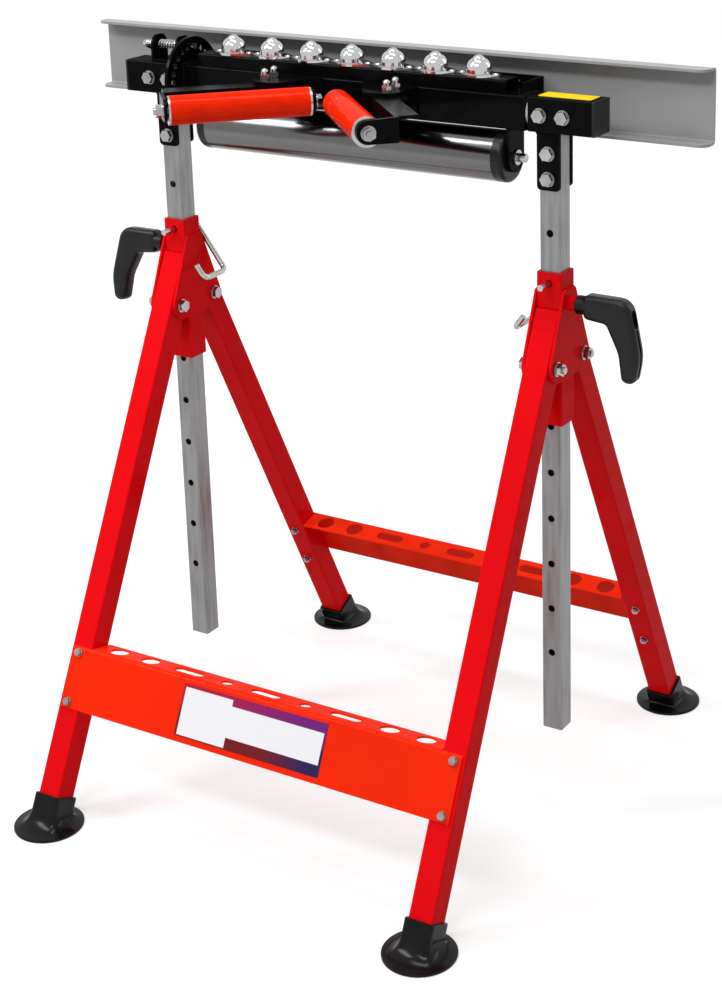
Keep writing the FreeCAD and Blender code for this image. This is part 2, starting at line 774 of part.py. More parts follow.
def make_head_mounts():
    """Stub tubes on the posts, each with two plates that clasp the post."""
    axis = ("0", "axis_height")
    outer = square_bar("stub_outer_block", "YZ_Plane", "beam_width", axis, ("stub_inner", "stub_outer"))
    inside = "(beam_width - 2 * beam_wall)"
    bore = box("stub_bore", ("stub_inner + stub_plate", "stub_outer + cut_overrun"), middle(inside),
               middle(inside, "axis_height"))
    lower = f"({BEAM_BOTTOM} - mount_plate_length)"
    half = "(mount_plate_width / 2)"
    outline = [
        (f"{POST_X} - {half}", lower, "mount_plate_corner"),
        (f"{POST_X} + {half}", lower, "mount_plate_corner"),
        (f"{POST_X} + {half}", BEAM_BOTTOM),
        (f"{POST_X} - {half}", BEAM_BOTTOM),
    ]
    front = plate("mount_plate_front", "XZ_Plane", outline, "post_width / 2", "mount_plate_thickness")
    rear = plate("mount_plate_rear", "XZ_Plane", outline,
                 "-post_width / 2 - mount_plate_thickness", "mount_plate_thickness")
    stub = cut("stub_tube", outer, [bore])
    tools = [rod("stub_axle_hole", "X", ("stub_inner - cut_overrun", "0", "axis_height"),
                 "axle_diameter / 2 + axle_gap", "stub_plate + 2 * cut_overrun")]
    for x in stub_bolt_places():
        tools.append(rod("stub_bolt_hole", "Y", (x, "-beam_width", "axis_height"), BOLT_HOLE, "2 * beam_width"))
    for height in mount_bolt_heights():
        tools.append(rod("mount_bolt_hole", "Y", (POST_X, "-post_width", height), BOLT_HOLE, "2 * post_width"))
    mount = cut("right_head_mount", fuse("mount_weldment", [stub, front, rear]), tools)
    pair(mount, ALONG_X, "left_head_mount")


def make_end_caps():
    """Plastic plugs in the outer ends of the stubs."""
    face = square_bar("cap_face", "YZ_Plane", "beam_width", ("0", "axis_height"),
                      ("stub_outer", "stub_outer + cap_thickness"))
    inside = "(beam_width - 2 * beam_wall - 2 * cap_gap)"
    plug = box("cap_plug_block", ("stub_outer - cap_plug", "stub_outer"), middle(inside),
               middle(inside, "axis_height"))
    core = f"({inside} - 2 * cap_plug_wall)"
    hollow = box("cap_hollow", ("stub_outer - cap_plug - cut_overrun", "stub_outer"), middle(core),
                 middle(core, "axis_height"))
    right = cut("end_cap_right", fuse("cap_solid", [face, plug]), [hollow])
    node(group("stub_end_caps", [right, mirror("end_cap_left", right, ALONG_X)]))


def make_mount_bolts():
    """Bolts through the stubs and their axles, and through the posts and the mount plates."""
    right = []
    for x in stub_bolt_places():
        right.append(bolt("stub_bolt", "Y", (x, "-beam_width / 2", "axis_height"), "beam_width"))
    clasp = "(post_width + 2 * mount_plate_thickness)"
    for height in mount_bolt_heights():
        right.append(bolt("post_bolt", "Y", (POST_X, f"-{clasp} / 2", height), clasp))
    left = [mirror(f"{one.Name}_left", one, ALONG_X) for one in right]
    node(group("head_mount_bolts", right + left))


def make_axles():
    """Round bars in the stubs that the head turns on, with a nylon washer at each end of it."""
    start = f"({HEAD_RIGHT} - axle_inside_head)"
    bar = rod("axle_bar", "X", (start, "0", "axis_height"), "axle_diameter / 2",
              "axle_inside_head + head_gap + axle_inside_stub")
    holes = [rod("axle_hole", "Y", (x, "-beam_width", "axis_height"), BOLT_HOLE, "2 * beam_width")
             for x in stub_bolt_places()]
    right = cut("axle_right", bar, holes)
    node(group("head_axles", [right, mirror("axle_left", right, ALONG_X)]))
    thickness = "(head_gap - 2 * washer_gap)"
    ring = rod("washer_ring", "X", (f"{HEAD_RIGHT} + washer_gap", "0", "axis_height"),
               "washer_diameter / 2", thickness)
    hole = rod("washer_hole", "X", (HEAD_LEFT, "0", "axis_height"), "axle_diameter / 2 + axle_gap",
               "stub_outer")
    washer = cut("washer_right", ring, [hole])
    node(group("pivot_washers", [washer, mirror("washer_left", washer, ALONG_X)]))


def make_lock_pins():
    """Bent wire pins through the sleeves, with the handle turned down behind the trestle."""
    path = [
        ("-pin_tip", "0"),
        ("pin_back", "0", "pin_bend"),
        ("pin_back", "-pin_drop", "pin_bend"),
        ("pin_back - pin_return", "-pin_drop", "pin_bend"),
        ("pin_back - pin_return", "-pin_drop + pin_hook"),
    ]
    pin = bent_rod("right_lock_pin", path, "pin_diameter", "pin_tip")
    lean(pin, ALONG_Y, "pin_lean", POST_X, "0", "pin_height")
    pair(pin, ALONG_X, "left_lock_pin")


def make_clamps():
    """Clamp screws in the weld nuts, and their moulded levers."""
    tip = f"({POST_X} + post_width / 2 + clamp_tip_gap)"
    hub = f"({POST_X} + lever_start)"
    screw = rod("right_clamp_screw", "X", (tip, "0", "clamp_height"), "clamp_screw / 2", f"{hub} + lever_bore - {tip}")
    pair(screw, ALONG_X, "left_clamp_screw")

    def at(share):
        spot = [f"{POST_X} + lever_reach * {share[0]}", f"clamp_height + lever_drop * ({share[1]})"]
        return tuple(spot + [f"lever_reach * {radius}" for radius in share[2:]])

    outline = [(hub, "clamp_height - lever_top")] + [at(share) for share in LEVER_SHARES]
    outline.append((hub, "clamp_height + lever_top"))
    blank = plate("lever_blank", "XZ_Plane", outline, "-lever_thickness / 2", "lever_thickness")
    doc.recompute()
    long_edges = [f"Edge{i}" for i, edge in enumerate(blank.Shape.Edges, start=1)
                  if edge.BoundBox.YLength < value("bolt_gap")
                  and edge.BoundBox.XMax > value(hub) + value("bolt_gap")]
    pad = blank.Tip
    soft = blank.newObject("PartDesign::Fillet", "lever_soft_edges")
    soft.Base = (pad, long_edges)
    bind(soft, {"Radius": "lever_edge_round"})
    collar = rod("lever_collar_ring", "X", (f"{hub} - lever_collar_length", "0", "clamp_height"),
                 "lever_collar / 2", "2 * lever_collar_length")
    tools = [rod("lever_bore_cut", "X", (f"{hub} - lever_collar_length - cut_overrun", "0", "clamp_height"),
                 "clamp_screw / 2 + bolt_gap", "lever_collar_length + lever_bore + 2 * cut_overrun")]
    tools += lever_hollows(at)
    right = cut("right_clamp_lever", fuse("lever_solid", [blank, collar]), tools)
    turned_lever = lean(group("lever_turned", [right]), ALONG_X, "-lever_left_turn", "0",
                        "-clamp_height * sin(lever_left_turn)", "clamp_height * (1 - cos(lever_left_turn))")
    node(right)
    node(mirror("left_clamp_lever", turned_lever, ALONG_X))


def lever_hollows(at):
    """Oval recess at the elbow and the groove below it, both in the lever's outer edge."""
    far = f"{POST_X} + 2 * lever_reach"
    bottom = [at(share) for share in GROOVE_SHARES]
    outline = bottom + [(far, bottom[-1][1]), (far, bottom[0][1])]
    groove = plate("lever_groove_cut", "XZ_Plane", outline, "-lever_groove / 2", "lever_groove")
    floor = f"{POST_X} + lever_reach * {GROOVE_SHARES[0][0]} - lever_recess_depth"
    low, high = [f"clamp_height + lever_drop * ({share})" for share in RECESS_SHARES]
    width = "lever_recess_width"
    ends = [rod("recess_end", "X", (floor, "0", z), f"{width} / 2", "lever_reach") for z in (low, high)]
    straight = box("recess_middle", (floor, f"{floor} + lever_reach"), middle(width), (low, high))
    return [groove, fuse("lever_recess", ends + [straight])]


def make_head_tube():
    """Square head tube with end plates for the axles and two hanging plates for the steel roller."""
    span = (f"-{HEAD_LEFT}", HEAD_RIGHT)
    outer = square_bar("head_outer", "YZ_Plane", "beam_width", ("0", "axis_height"), span)
    inside = "(beam_width - 2 * beam_wall)"
    bore = box("head_bore", (f"{span[0]} + head_end_plate", f"{span[1]} - head_end_plate"), middle(inside),
               middle(inside, "axis_height"))
    axle = rod("head_axle_hole", "X", (f"{span[0]} - cut_overrun", "0", "axis_height"),
               "axle_diameter / 2 + axle_gap", "2 * stub_inner")
    half = "yoke_width / 2"
    lower = f"{ROLLER_AXIS} - {half}"
    outline = [
        (f"-{half}", lower, f"{half} * yoke_round_share"),
        (half, lower, f"{half} * yoke_round_share"),
        (half, BEAM_BOTTOM),
        (f"-{half}", BEAM_BOTTOM),
    ]
    right = plate("yoke_right", "YZ_Plane", outline, YOKE_INNER, "yoke_thickness")
    left = mirror("yoke_left", right, ALONG_X)
    hole = rod("yoke_hole", "X", ("-stub_inner", "0", ROLLER_AXIS), "roller_axle / 2 + roller_axle_gap",
               "2 * stub_inner")
    node(cut("head_tube", fuse("head_weldment", [cut("head_shell", outer, [bore, axle]), right, left]), [hole]))


def make_index_disc():
    """Disc on the left end of the head, with a full ring of holes for the plunger."""
    start = (f"-{HEAD_RIGHT}", "0", "axis_height")
    disc = rod("disc_blank", "X", start, "disc_radius", "disc_thickness")
    tools = [rod("disc_bore", "X", (f"-{HEAD_RIGHT} - cut_overrun", "0", "axis_height"),
                 "axle_diameter / 2 + axle_gap", "disc_thickness + 2 * cut_overrun")]
    for step in range(INDEX_HOLES):
        angle = INDEX_STEP * step
        place_y = f"index_radius * sin({angle})"
        place_z = f"axis_height + index_radius * cos({angle})"
        tools.append(rod("index_hole_cut", "X", (f"-{HEAD_RIGHT} - cut_overrun", place_y, place_z),
                         "index_hole / 2", "disc_thickness + 2 * cut_overrun"))
    node(cut("index_disc", disc, tools))


PLUNGER_AXIS = "(axis_height + index_radius)"
PLUNGER_TIP = f"(-{HEAD_LEFT} + plunger_past_disc)"
BRACKET_RIGHT = "(-stub_inner - bracket_inset)"
BRACKET_LEFT = f"({BRACKET_RIGHT} - bracket_length)"
COLLAR_RIGHT = f"({BRACKET_RIGHT} - bracket_sheet - bracket_inset)"


def make_plunger():
    """Sprung index plunger in a U bracket on top of the left stub."""
    base = box("bracket_base", (BRACKET_LEFT, BRACKET_RIGHT), middle("bracket_width"),
               (BEAM_TOP, f"{BEAM_TOP} + bracket_sheet"))
    crown = f"({PLUNGER_AXIS} + bracket_crown)"
    half = "bracket_width / 2"
    outline = [
        (f"-{half}", BEAM_TOP),
        (half, BEAM_TOP),
        (half, crown, f"{half} * bracket_round_share"),
        (f"-{half}", crown, f"{half} * bracket_round_share"),
    ]
    left = plate("bracket_ear_left", "YZ_Plane", outline, BRACKET_LEFT, "bracket_sheet")
    right = plate("bracket_ear_right", "YZ_Plane", outline, f"{BRACKET_RIGHT} - bracket_sheet", "bracket_sheet")
    hole = rod("bracket_hole", "X", (f"{BRACKET_LEFT} - cut_overrun", "0", PLUNGER_AXIS),
               "plunger_diameter / 2 + axle_gap", "2 * bracket_length")
    node(cut("plunger_bracket", fuse("bracket_solid", [base, left, right]), [hole]))
    path = [
        ("0", "0"),
        ("plunger_length", "0", "plunger_bend"),
        ("plunger_length", "-plunger_handle"),
    ]
    wire = bent_rod("plunger_rod", path, "plunger_diameter", "0")
    collar = rod("plunger_collar_ring", "Y", ("0", f"{PLUNGER_TIP} - {COLLAR_RIGHT}", "0"),
                 "plunger_collar / 2", "plunger_collar_length")
    pin = fuse("plunger_pin", [wire, collar])
    to_left = FreeCAD.Rotation(ALONG_Z, 90)
    place(pin, PLUNGER_TIP, "0", PLUNGER_AXIS, FreeCAD.Rotation(ALONG_X, value("plunger_handle_lean")) * to_left)
    node(pin)
    make_spring()


def arc_between(start, corner, end):
    """Circular arc that leaves start towards a corner and reaches end from it."""
    weight = (corner - start).normalize().dot((end - start).normalize())
    middle_point = (start + end + corner * (2 * weight)) * (1 / (2 + 2 * weight))
    return Part.Arc(start, middle_point, end).toShape()


def biarc(start, way_in, end, way_out):
    """Two tangent arcs between two points with given directions."""
    chord = end - start
    along = chord.dot(way_in + way_out)
    bend = 2 * (1 - way_in.dot(way_out))
    reach = (math.sqrt(along ** 2 + bend * chord.dot(chord)) - along) / bend
    first = start + way_in * reach
    last = end - way_out * reach
    joint = (first + last) * 0.5
    return [arc_between(start, first, joint), arc_between(joint, last, end)]


def make_spring():
    """Coil spring round the plunger, between the left ear and the plunger's collar."""
    wire = value("spring_wire")
    radius = (value("spring_diameter") - wire) / 2
    start = value(f"{BRACKET_LEFT} + bracket_sheet")
    end = value(f"{COLLAR_RIGHT} - plunger_collar_length")
    quarters = int(value("spring_turns")) * SPRING_QUARTERS_PER_TURN
    clear = value("axle_gap") + wire / 2
    length = end - start - 2 * clear
    quarter = math.tau / SPRING_QUARTERS_PER_TURN
    axis = value(PLUNGER_AXIS)

    def spot(turn):
        share = turn / (quarters * quarter)
        return V(start + clear + share * length, radius * math.sin(turn), axis + radius * math.cos(turn))

    def way(turn):
        rate = length / (quarters * quarter)
        return V(rate, radius * math.cos(turn), -radius * math.sin(turn)).normalize()

    edges = []
    for i in range(quarters):
        a, b = i * quarter, (i + 1) * quarter
        edges += biarc(spot(a), way(a), spot(b), way(b))
    first, last = spot(0), spot(quarters * quarter)
    lead, tail = way(0) * wire, way(quarters * quarter) * wire
    edges.insert(0, Part.LineSegment(first - lead, first).toShape())
    edges.append(Part.LineSegment(last, last + tail).toShape())
    path = Part.Wire(edges)
    ring = Part.Wire(Part.Circle(first - lead, lead, wire / 2).toShape())
    spring = doc.addObject("Part::Feature", "plunger_spring")
    spring.Shape = path.makePipeShell([ring], True, False)
    node(spring)
    points = path.discretize(Distance=wire)
    near = SPRING_QUARTERS_PER_TURN * 2
    gaps = [points[i].distanceToPoint(points[j]) for i in range(len(points))
            for j in range(i + near, len(points))]
    print(f"spring: least gap between turns {min(gaps) - wire:.2f} mm")


def make_ball_channel():
    """Folded channel on top of the head tube, open at its ends, that the ball transfers stand on."""
    half = "(channel_width / 2)"
    inner = f"({half} - channel_sheet)"
    under = f"({CHANNEL_TOP} - channel_sheet)"
    outline = [
        (f"-{half}", BEAM_TOP),
        (f"-{inner}", BEAM_TOP),
        (f"-{inner}", under),
        (inner, under),
        (inner, BEAM_TOP),
        (half, BEAM_TOP),
        (half, CHANNEL_TOP, "channel_bend"),
        (f"-{half}", CHANNEL_TOP, "channel_bend"),
    ]
    node(plate("ball_channel", "YZ_Plane", outline, "-channel_length / 2", "channel_length"))


def ball_x(index):
    return f"{index - (BALLS - 1) // 2} * ball_pitch"


def make_ball_transfers():
    """A row of ball transfers: lobed flange, domed cup and a free ball in each."""
    half = "(ball_pitch / 2 - cup_flange_gap / 2)"
    deep = "cup_flange_width / 2"
    quarter = [(half, "cup_lobe / 2", "cup_lobe_round"), ("cup_diameter / 4", deep, "cup_flange_round")]
    signs = (("", ""), ("-", ""), ("-", "-"), ("", "-"))
    outline = []
    for i, (along, across) in enumerate(signs):
        corners = quarter if i % 2 == 0 else quarter[::-1]
        outline += [(f"{along}{x}", f"{across}{y}", radius) for x, y, radius in corners]
    dome = [
        ("0", "0"),
        ("cup_diameter / 2", "0"),
        ("cup_diameter / 2", "cup_height", "cup_diameter / 2 * cup_round_share"),
        ("0", "cup_height"),
    ]
    cups, balls = [], []
    for index in range(BALLS):
        flange = plate("cup_flange_plate", "XY_Plane", outline, "0", "cup_flange")
        cup = fuse("cup_body", [flange, turned("cup_dome", dome)])
        seat = doc.addObject("Part::Sphere", "cup_seat")
        bind(seat, {"Radius": "ball_diameter / 2 + ball_gap"})
        place(seat, "0", "0", "ball_height")
        cups.append(place(cut("ball_cup", cup, [seat]), ball_x(index), "0", CHANNEL_TOP))
        ball = doc.addObject("Part::Sphere", f"ball_{index + 1}")
        bind(ball, {"Radius": "ball_diameter / 2"})
        balls.append(place(ball, ball_x(index), "0", f"{CHANNEL_TOP} + ball_height"))
    node(group("ball_cups", cups))
    for ball in balls:
        node(ball)


def along_v(obj):
    """Carries a piece drawn along the right V roller, with its inner end as origin, to its place."""
    return lean(obj, ALONG_Z, "-v_angle", "v_inner_x", "-v_inner_y", "axis_height")


def v_bolt_places():
    return (("v_bolt_x", "-v_bolt_y"), ("v_bolt_x", "-v_bolt_y - v_bolt_pitch"))


def v_bolt_holes():
    return [rod("v_bolt_hole", "Z", (x, y, BEAM_BOTTOM), SCREW_HOLE, "2 * beam_width") for x, y in v_bolt_places()]


def make_v_mounts():
    """Angle brackets on the head's front face whose rounded shelves carry the V cradles."""
    front = "(-beam_width / 2)"
    reach = f"({front} - v_mount_reach)"
    outline = [
        ("v_mount_inner", front),
        ("v_mount_inner + v_mount_slant", reach, "v_mount_corner"),
        ("v_mount_outer", reach, "v_mount_corner"),
        ("v_mount_outer", front),
    ]
    shelf = plate("v_shelf", "XY_Plane", outline, f"{BEAM_TOP} - v_mount_sheet", "v_mount_sheet")
    back = box("v_back", ("v_mount_inner", "v_mount_outer"), (f"{front} - v_mount_back", front),
               (f"{BEAM_TOP} - cradle_height", BEAM_TOP))
    right = cut("v_mount_right", fuse("v_mount_solid", [shelf, back]), v_bolt_holes())
    node(group("v_mounts", [right, mirror("v_mount_left", right, ALONG_X)]))


def make_v_cradles():
    """Folded cradles: an upright web behind the roller, two round ears and a shelf under the mount."""
    ear = "(cradle_sheet + v_side_gap)"
    half = "ear_height / 2"
    back = "(cradle_back + cradle_sheet)"
    top = f"({BEAM_TOP} - v_mount_sheet - axis_height)"
    web = box("cradle_web", (f"-{ear}", f"v_length + {ear}"), ("cradle_back", back), (f"-{half}", top))
    outline = [
        (f"-{half}", f"-{half}", f"{half} * ear_round_share"),
        (back, f"-{half}"),
        (back, top),
        (f"-{half}", half, f"{half} * ear_round_share"),
    ]
    inner = plate("cradle_ear_inner", "YZ_Plane", outline, f"-{ear}", "cradle_sheet")
    outer = plate("cradle_ear_outer", "YZ_Plane", outline, "v_length + v_side_gap", "cradle_sheet")
    shelf = plate("cradle_shelf_sheet", "XY_Plane", [
        ("cradle_tab_start", "cradle_back"),
        ("v_length", "cradle_back"),
        ("v_length", f"{back} + cradle_shelf"),
        ("cradle_tab_end", f"{back} + cradle_shelf"),
        ("cradle_tab_end", f"{back} + cradle_tab"),
        ("cradle_tab_start", f"{back} + cradle_tab"),
    ], f"{top} - cradle_sheet", "cradle_sheet")
    axle = rod("cradle_axle_hole", "X", (f"-{ear} - cut_overrun", "0", "0"), "v_axle / 2 + v_axle_gap",
               "2 * v_length")
    blank = along_v(cut("cradle_blank", fuse("cradle_solid", [web, inner, outer, shelf]), [axle]))
    pair(cut("right_v_cradle", blank, v_bolt_holes()), ALONG_X, "left_v_cradle")
    right = [dome_bolt("v_bolt", (x, y, f"{BEAM_TOP} - v_mount_sheet - cradle_sheet"),
                       "(cradle_sheet + v_mount_sheet)") for x, y in v_bolt_places()]
    left = [mirror(f"{one.Name}_left", one, ALONG_X) for one in right]
    node(group("v_clamp_bolts", right + left))


def make_v_rollers():
    """Coated rollers with steel end caps on bolts through the cradle ears."""
    hole = "v_axle / 2 + v_axle_gap"
    tube = rod("v_tube", "X", ("v_cap_lip", "0", "0"), "v_diameter / 2", "v_length - 2 * v_cap_lip")
    bore = rod("v_tube_bore", "X", ("-cut_overrun", "0", "0"), "v_bore / 2", "v_length + 2 * cut_overrun")
    pair(along_v(cut("right_v_roller", tube, [bore])), ALONG_X, "left_v_roller")
    caps = []
    for lip, plug in (("0", "0"), ("v_length - v_cap_lip", "v_length - v_cap")):
        face = rod("v_cap_face", "X", (lip, "0", "0"), "v_diameter / 2", "v_cap_lip")
        stem = rod("v_cap_stem", "X", (plug, "0", "0"), "v_bore / 2", "v_cap")
        drill = rod("v_cap_hole", "X", ("-cut_overrun", "0", "0"), hole, "v_length + 2 * cut_overrun")
        caps.append(cut("v_cap_solid", fuse("v_cap_blank", [face, stem]), [drill]))
    pair(along_v(group("right_v_roller_caps", caps)), ALONG_X, "left_v_roller_caps")
    ear = "(cradle_sheet + v_side_gap)"
    axle = bolt("v_axle_bolt", "X", (f"-{ear}", "0", "0"), f"v_length + 2 * {ear}")
    pair(along_v(group("right_v_axle", [axle])), ALONG_X, "left_v_axle")


def make_steel_roller():
    """Long steel roller with black end caps, on a bar through the hanging plates of the head."""
    straight = "(roller_half - roller_cap)"
    tube = rod("roller_tube_blank", "X", (f"-{straight}", "0", ROLLER_AXIS), "roller_diameter / 2", f"2 * {straight}")
    inner = "(roller_diameter / 2 - roller_wall)"
    bore = rod("roller_tube_bore", "X", ("-roller_half", "0", ROLLER_AXIS), inner, "2 * roller_half")
    node(cut("steel_roller", tube, [bore]))
    face = rod("roller_cap_face", "X", (straight, "0", ROLLER_AXIS), "roller_diameter / 2", "roller_cap")
    plug = rod("roller_cap_plug_disc", "X", (f"{straight} - roller_cap_plug", "0", ROLLER_AXIS), inner,
               "roller_cap_plug")
    hole = rod("roller_cap_hole", "X", ("0", "0", ROLLER_AXIS), "roller_axle / 2 + roller_axle_gap", "stub_inner")
    soft = doc.addObject("Part::Fillet", "roller_cap_soft")
    soft.Base = fuse("roller_cap_solid", [face, plug])
    doc.recompute()
    rims = [i for i, edge in enumerate(soft.Base.Shape.Edges, start=1)
            if edge.BoundBox.XMin > value("roller_half") - value("roller_side_gap")]
    soft.Edges = [(i, value("roller_cap") / 3, value("roller_cap") / 3) for i in rims]
    right = cut("roller_cap_right", soft, [hole])
    node(group("steel_roller_caps", [right, mirror("roller_cap_left", right, ALONG_X)]))
    end = f"({YOKE_INNER} + yoke_thickness + roller_axle_end)"
    bar = rod("roller_bar", "X", (f"-{end}", "0", ROLLER_AXIS), "roller_axle / 2", f"2 * {end}")
    ring = f"({YOKE_INNER} + yoke_thickness)"
    rings = [rod("retainer", "X", (ring, "0", ROLLER_AXIS), "retainer_diameter / 2", "retainer_length"),
             rod("retainer", "X", (f"-{ring} - retainer_length", "0", ROLLER_AXIS), "retainer_diameter / 2",
                 "retainer_length")]
    node(fuse("roller_axle", [bar] + rings))


def rest_bolt_places():
    level = "(rest_top - rest_height / 2)"
    return [(f"{side}rest_bracket_x", f"{level} {step} rest_bolt_pitch / 2")
            for side in ("-", "") for step in ("-", "+")]


def make_flat_rest():
    """Long folded channel behind the head; its web is the flat rest when the head is turned."""
    low = "(rest_top - rest_height)"
    inner = "(rest_reach - rest_sheet)"
    tip = "(rest_reach - rest_depth)"
    outline = [
        (tip, low),
        ("rest_reach", low, "rest_bend"),
        ("rest_reach", "rest_top", "rest_bend"),
        (tip, "rest_top"),
        (tip, "rest_top - rest_sheet"),
        (inner, "rest_top - rest_sheet", "rest_bend - rest_sheet"),
        (inner, f"{low} + rest_sheet", "rest_bend - rest_sheet"),
        (tip, f"{low} + rest_sheet"),
    ]
    channel = plate("rest_channel", "YZ_Plane", outline, "-rest_length / 2", "rest_length")
    tools = [rod("rest_bolt_hole", "Y", (x, tip, z), SCREW_HOLE, "2 * rest_depth") for x, z in rest_bolt_places()]
    for side in ("-", ""):
        tools.append(rest_corner_cut(side, tip))
    node(cut("flat_rest", channel, tools))


def rest_corner_cut(side, tip):
    """Tool that rounds the free corners of both flanges at one end of the rest."""
    end = f"{side}rest_length / 2"
    start = f"{side}(rest_length / 2 - rest_corner)"
    ends = (f"{end} - cut_overrun", start) if side else (start, f"{end} + cut_overrun")
    levels = ("rest_top - rest_height - cut_overrun", "rest_top + cut_overrun")
    block = box("rest_corner_block", ends, (f"{tip} - cut_overrun", f"{tip} + rest_corner"), levels)
    keep = rod("rest_corner_keep", "Z", (start, f"{tip} + rest_corner", "rest_top - rest_height - 2 * cut_overrun"),
               "rest_corner", "rest_height + 4 * cut_overrun")
    return cut("rest_corner_tool", block, [keep])


def make_rest_brackets():
    """U brackets between the head tube's rear face and the web of the rest."""
    rear = "beam_width / 2"
    web = "(rest_reach - rest_sheet)"
    half = "rest_bracket_width / 2"
    level = middle("rest_bracket_height", "(rest_top - rest_height / 2)")
    outer = box("rest_bracket_block", middle("rest_bracket_width", "rest_bracket_x"), (rear, web), level)
    room = box("rest_bracket_room",
               (f"rest_bracket_x - {half} + rest_bracket_sheet", f"rest_bracket_x + {half} - rest_bracket_sheet"),
               (f"{rear} - cut_overrun", f"{web} - rest_bracket_sheet"),
               (f"{level[0]} - cut_overrun", f"{level[1]} + cut_overrun"))
    holes = [rod("bracket_bolt_hole", "Y", (x, rear, z), SCREW_HOLE, "2 * rest_reach")
             for x, z in rest_bolt_places()]
    right = cut("rest_bracket_right", outer, [room] + holes)
    node(group("rest_brackets", [right, mirror("rest_bracket_left", right, ALONG_X)]))
    grip = "(rest_sheet + rest_bracket_sheet)"
    bolts = []
    for x, z in rest_bolt_places():
        shank = rod("rest_shank", "Y", (x, f"rest_reach - {grip} - screw_nut_height - screw_tail", z),
                    "screw_diameter / 2", f"{grip} + screw_nut_height + screw_tail")
        nut = hexagon("rest_nut", "Y", (x, f"rest_reach - {grip} - screw_nut_height", z), "screw_head_width",
                      "screw_nut_height")
        bolts.append(fuse("rest_bolt", [shank, nut]))
    node(group("rest_bolts", bolts))


make_sleeve()
make_pivot_bolts()
make_legs()
make_feet()
make_crossbars()
make_crossbar_screws()
make_posts()
make_head_mounts()
make_end_caps()
make_mount_bolts()
make_axles()
make_lock_pins()
make_clamps()
make_head_tube()
make_index_disc()
make_plunger()
make_ball_channel()
make_ball_transfers()
make_v_mounts()
make_v_cradles()
make_v_rollers()
make_steel_roller()
make_flat_rest()
make_rest_brackets()
doc.recompute()

for obj in doc.Objects:
    if "Invalid" in obj.State or "Error" in obj.State:
        raise RuntimeError(f"{obj.Name} failed")
for piece in nodes:
    if piece.Shape.isNull() or not piece.Shape.isValid():
        raise RuntimeError(f"{piece.Label} has no valid shape")
os.makedirs("parts", exist_ok=True)
for piece in nodes:
    piece.Shape.exportStep(f"parts/{piece.Label}.step")
print(f"{len(nodes)} sub-parts written")
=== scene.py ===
# %% [markdown]
# # A folding support stand, dressed in Blender
# The stand is a red folding trestle with two steel posts and a black head that turns: ball
# transfers on top, two orange rollers in a V at the front, a long steel roller below and a grey
# channel behind. All hard shapes come from the CAD model, which is loaded first and never changed.
# What is left for this lesson is the studio, the finishes, two kinds of moulded pieces, and small
# details that follow a rule.

# %% Load the CAD model as a fixed frame
import bmesh
import bpy
import json
import math
from mathutils import Matrix, Vector


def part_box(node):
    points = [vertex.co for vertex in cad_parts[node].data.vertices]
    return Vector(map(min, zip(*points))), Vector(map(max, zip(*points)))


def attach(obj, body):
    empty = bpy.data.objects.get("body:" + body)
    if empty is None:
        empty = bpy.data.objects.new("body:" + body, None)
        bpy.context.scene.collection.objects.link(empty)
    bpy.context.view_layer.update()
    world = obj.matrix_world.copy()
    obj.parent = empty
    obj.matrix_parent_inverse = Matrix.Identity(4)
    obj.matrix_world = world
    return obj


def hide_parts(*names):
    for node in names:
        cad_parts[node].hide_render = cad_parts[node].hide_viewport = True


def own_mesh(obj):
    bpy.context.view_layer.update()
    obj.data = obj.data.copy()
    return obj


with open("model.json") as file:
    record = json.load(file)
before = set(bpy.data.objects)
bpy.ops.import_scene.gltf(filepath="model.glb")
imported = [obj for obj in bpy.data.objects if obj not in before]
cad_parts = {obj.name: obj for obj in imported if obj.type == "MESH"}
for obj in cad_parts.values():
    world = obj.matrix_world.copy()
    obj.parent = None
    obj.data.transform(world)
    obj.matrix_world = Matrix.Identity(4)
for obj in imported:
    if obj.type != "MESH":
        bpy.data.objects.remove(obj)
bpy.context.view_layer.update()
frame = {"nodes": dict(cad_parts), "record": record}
nodes = frame["nodes"]


# %% Two helpers that most cells use
def new_object(name, data):
    """Shows a mesh, a lamp or a camera in the scene."""
    thing = bpy.data.objects.new(name, data)
    bpy.context.scene.collection.objects.link(thing)
    return thing


def middle(node):
    """The middle of a CAD piece's box."""
    low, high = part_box(node)
    return (low + high) / 2


print("posts", round(middle("right_post").x - middle("left_post").x, 3), "m apart")

# %% [markdown]
# ## The camera
# A product photograph like this is taken from the right front corner with a short telephoto lens,
# a little above the head. The pose below was found by matching corners of the stand. The lens is
# shifted slightly, as on a studio camera, because that keeps the posts nearly upright.

# %% Camera at the photograph's viewing angle
CAMERA_PLACE = Vector((1.2301, -1.83936, 1.27798))
CAMERA_RIGHT = Vector((0.859887, 0.510138, -0.018818))
CAMERA_UP = Vector((-0.127872, 0.250935, 0.959521))
LENS_MM, SENSOR_MM = 70.983, 36.0
LENS_SHIFT = (-0.09, -0.22)
NEAREST, FARTHEST = 0.05, 60.0

camera = new_object("studio_camera", bpy.data.cameras.new("studio_camera"))
back = CAMERA_RIGHT.cross(CAMERA_UP)
turn = Matrix((CAMERA_RIGHT, CAMERA_UP, back)).transposed()
camera.matrix_world = Matrix.Translation(CAMERA_PLACE) @ turn.to_4x4()
camera.data.lens, camera.data.sensor_width = LENS_MM, SENSOR_MM
camera.data.shift_x, camera.data.shift_y = LENS_SHIFT
camera.data.clip_start, camera.data.clip_end = NEAREST, FARTHEST
bpy.context.scene.camera = camera
bpy.context.scene.view_settings.view_transform = "Standard"
print("camera at", tuple(round(v, 2) for v in CAMERA_PLACE))

# %% [markdown]
# ## Shader maths as plain expressions
# Node trees are easier to read when a mask can be written as `1 - wear * 0.4`. The small class
# below wraps one socket: each operator adds a Math node and returns the new socket. Every other
# node comes from one method, which takes the node's type, its settings and its inputs.


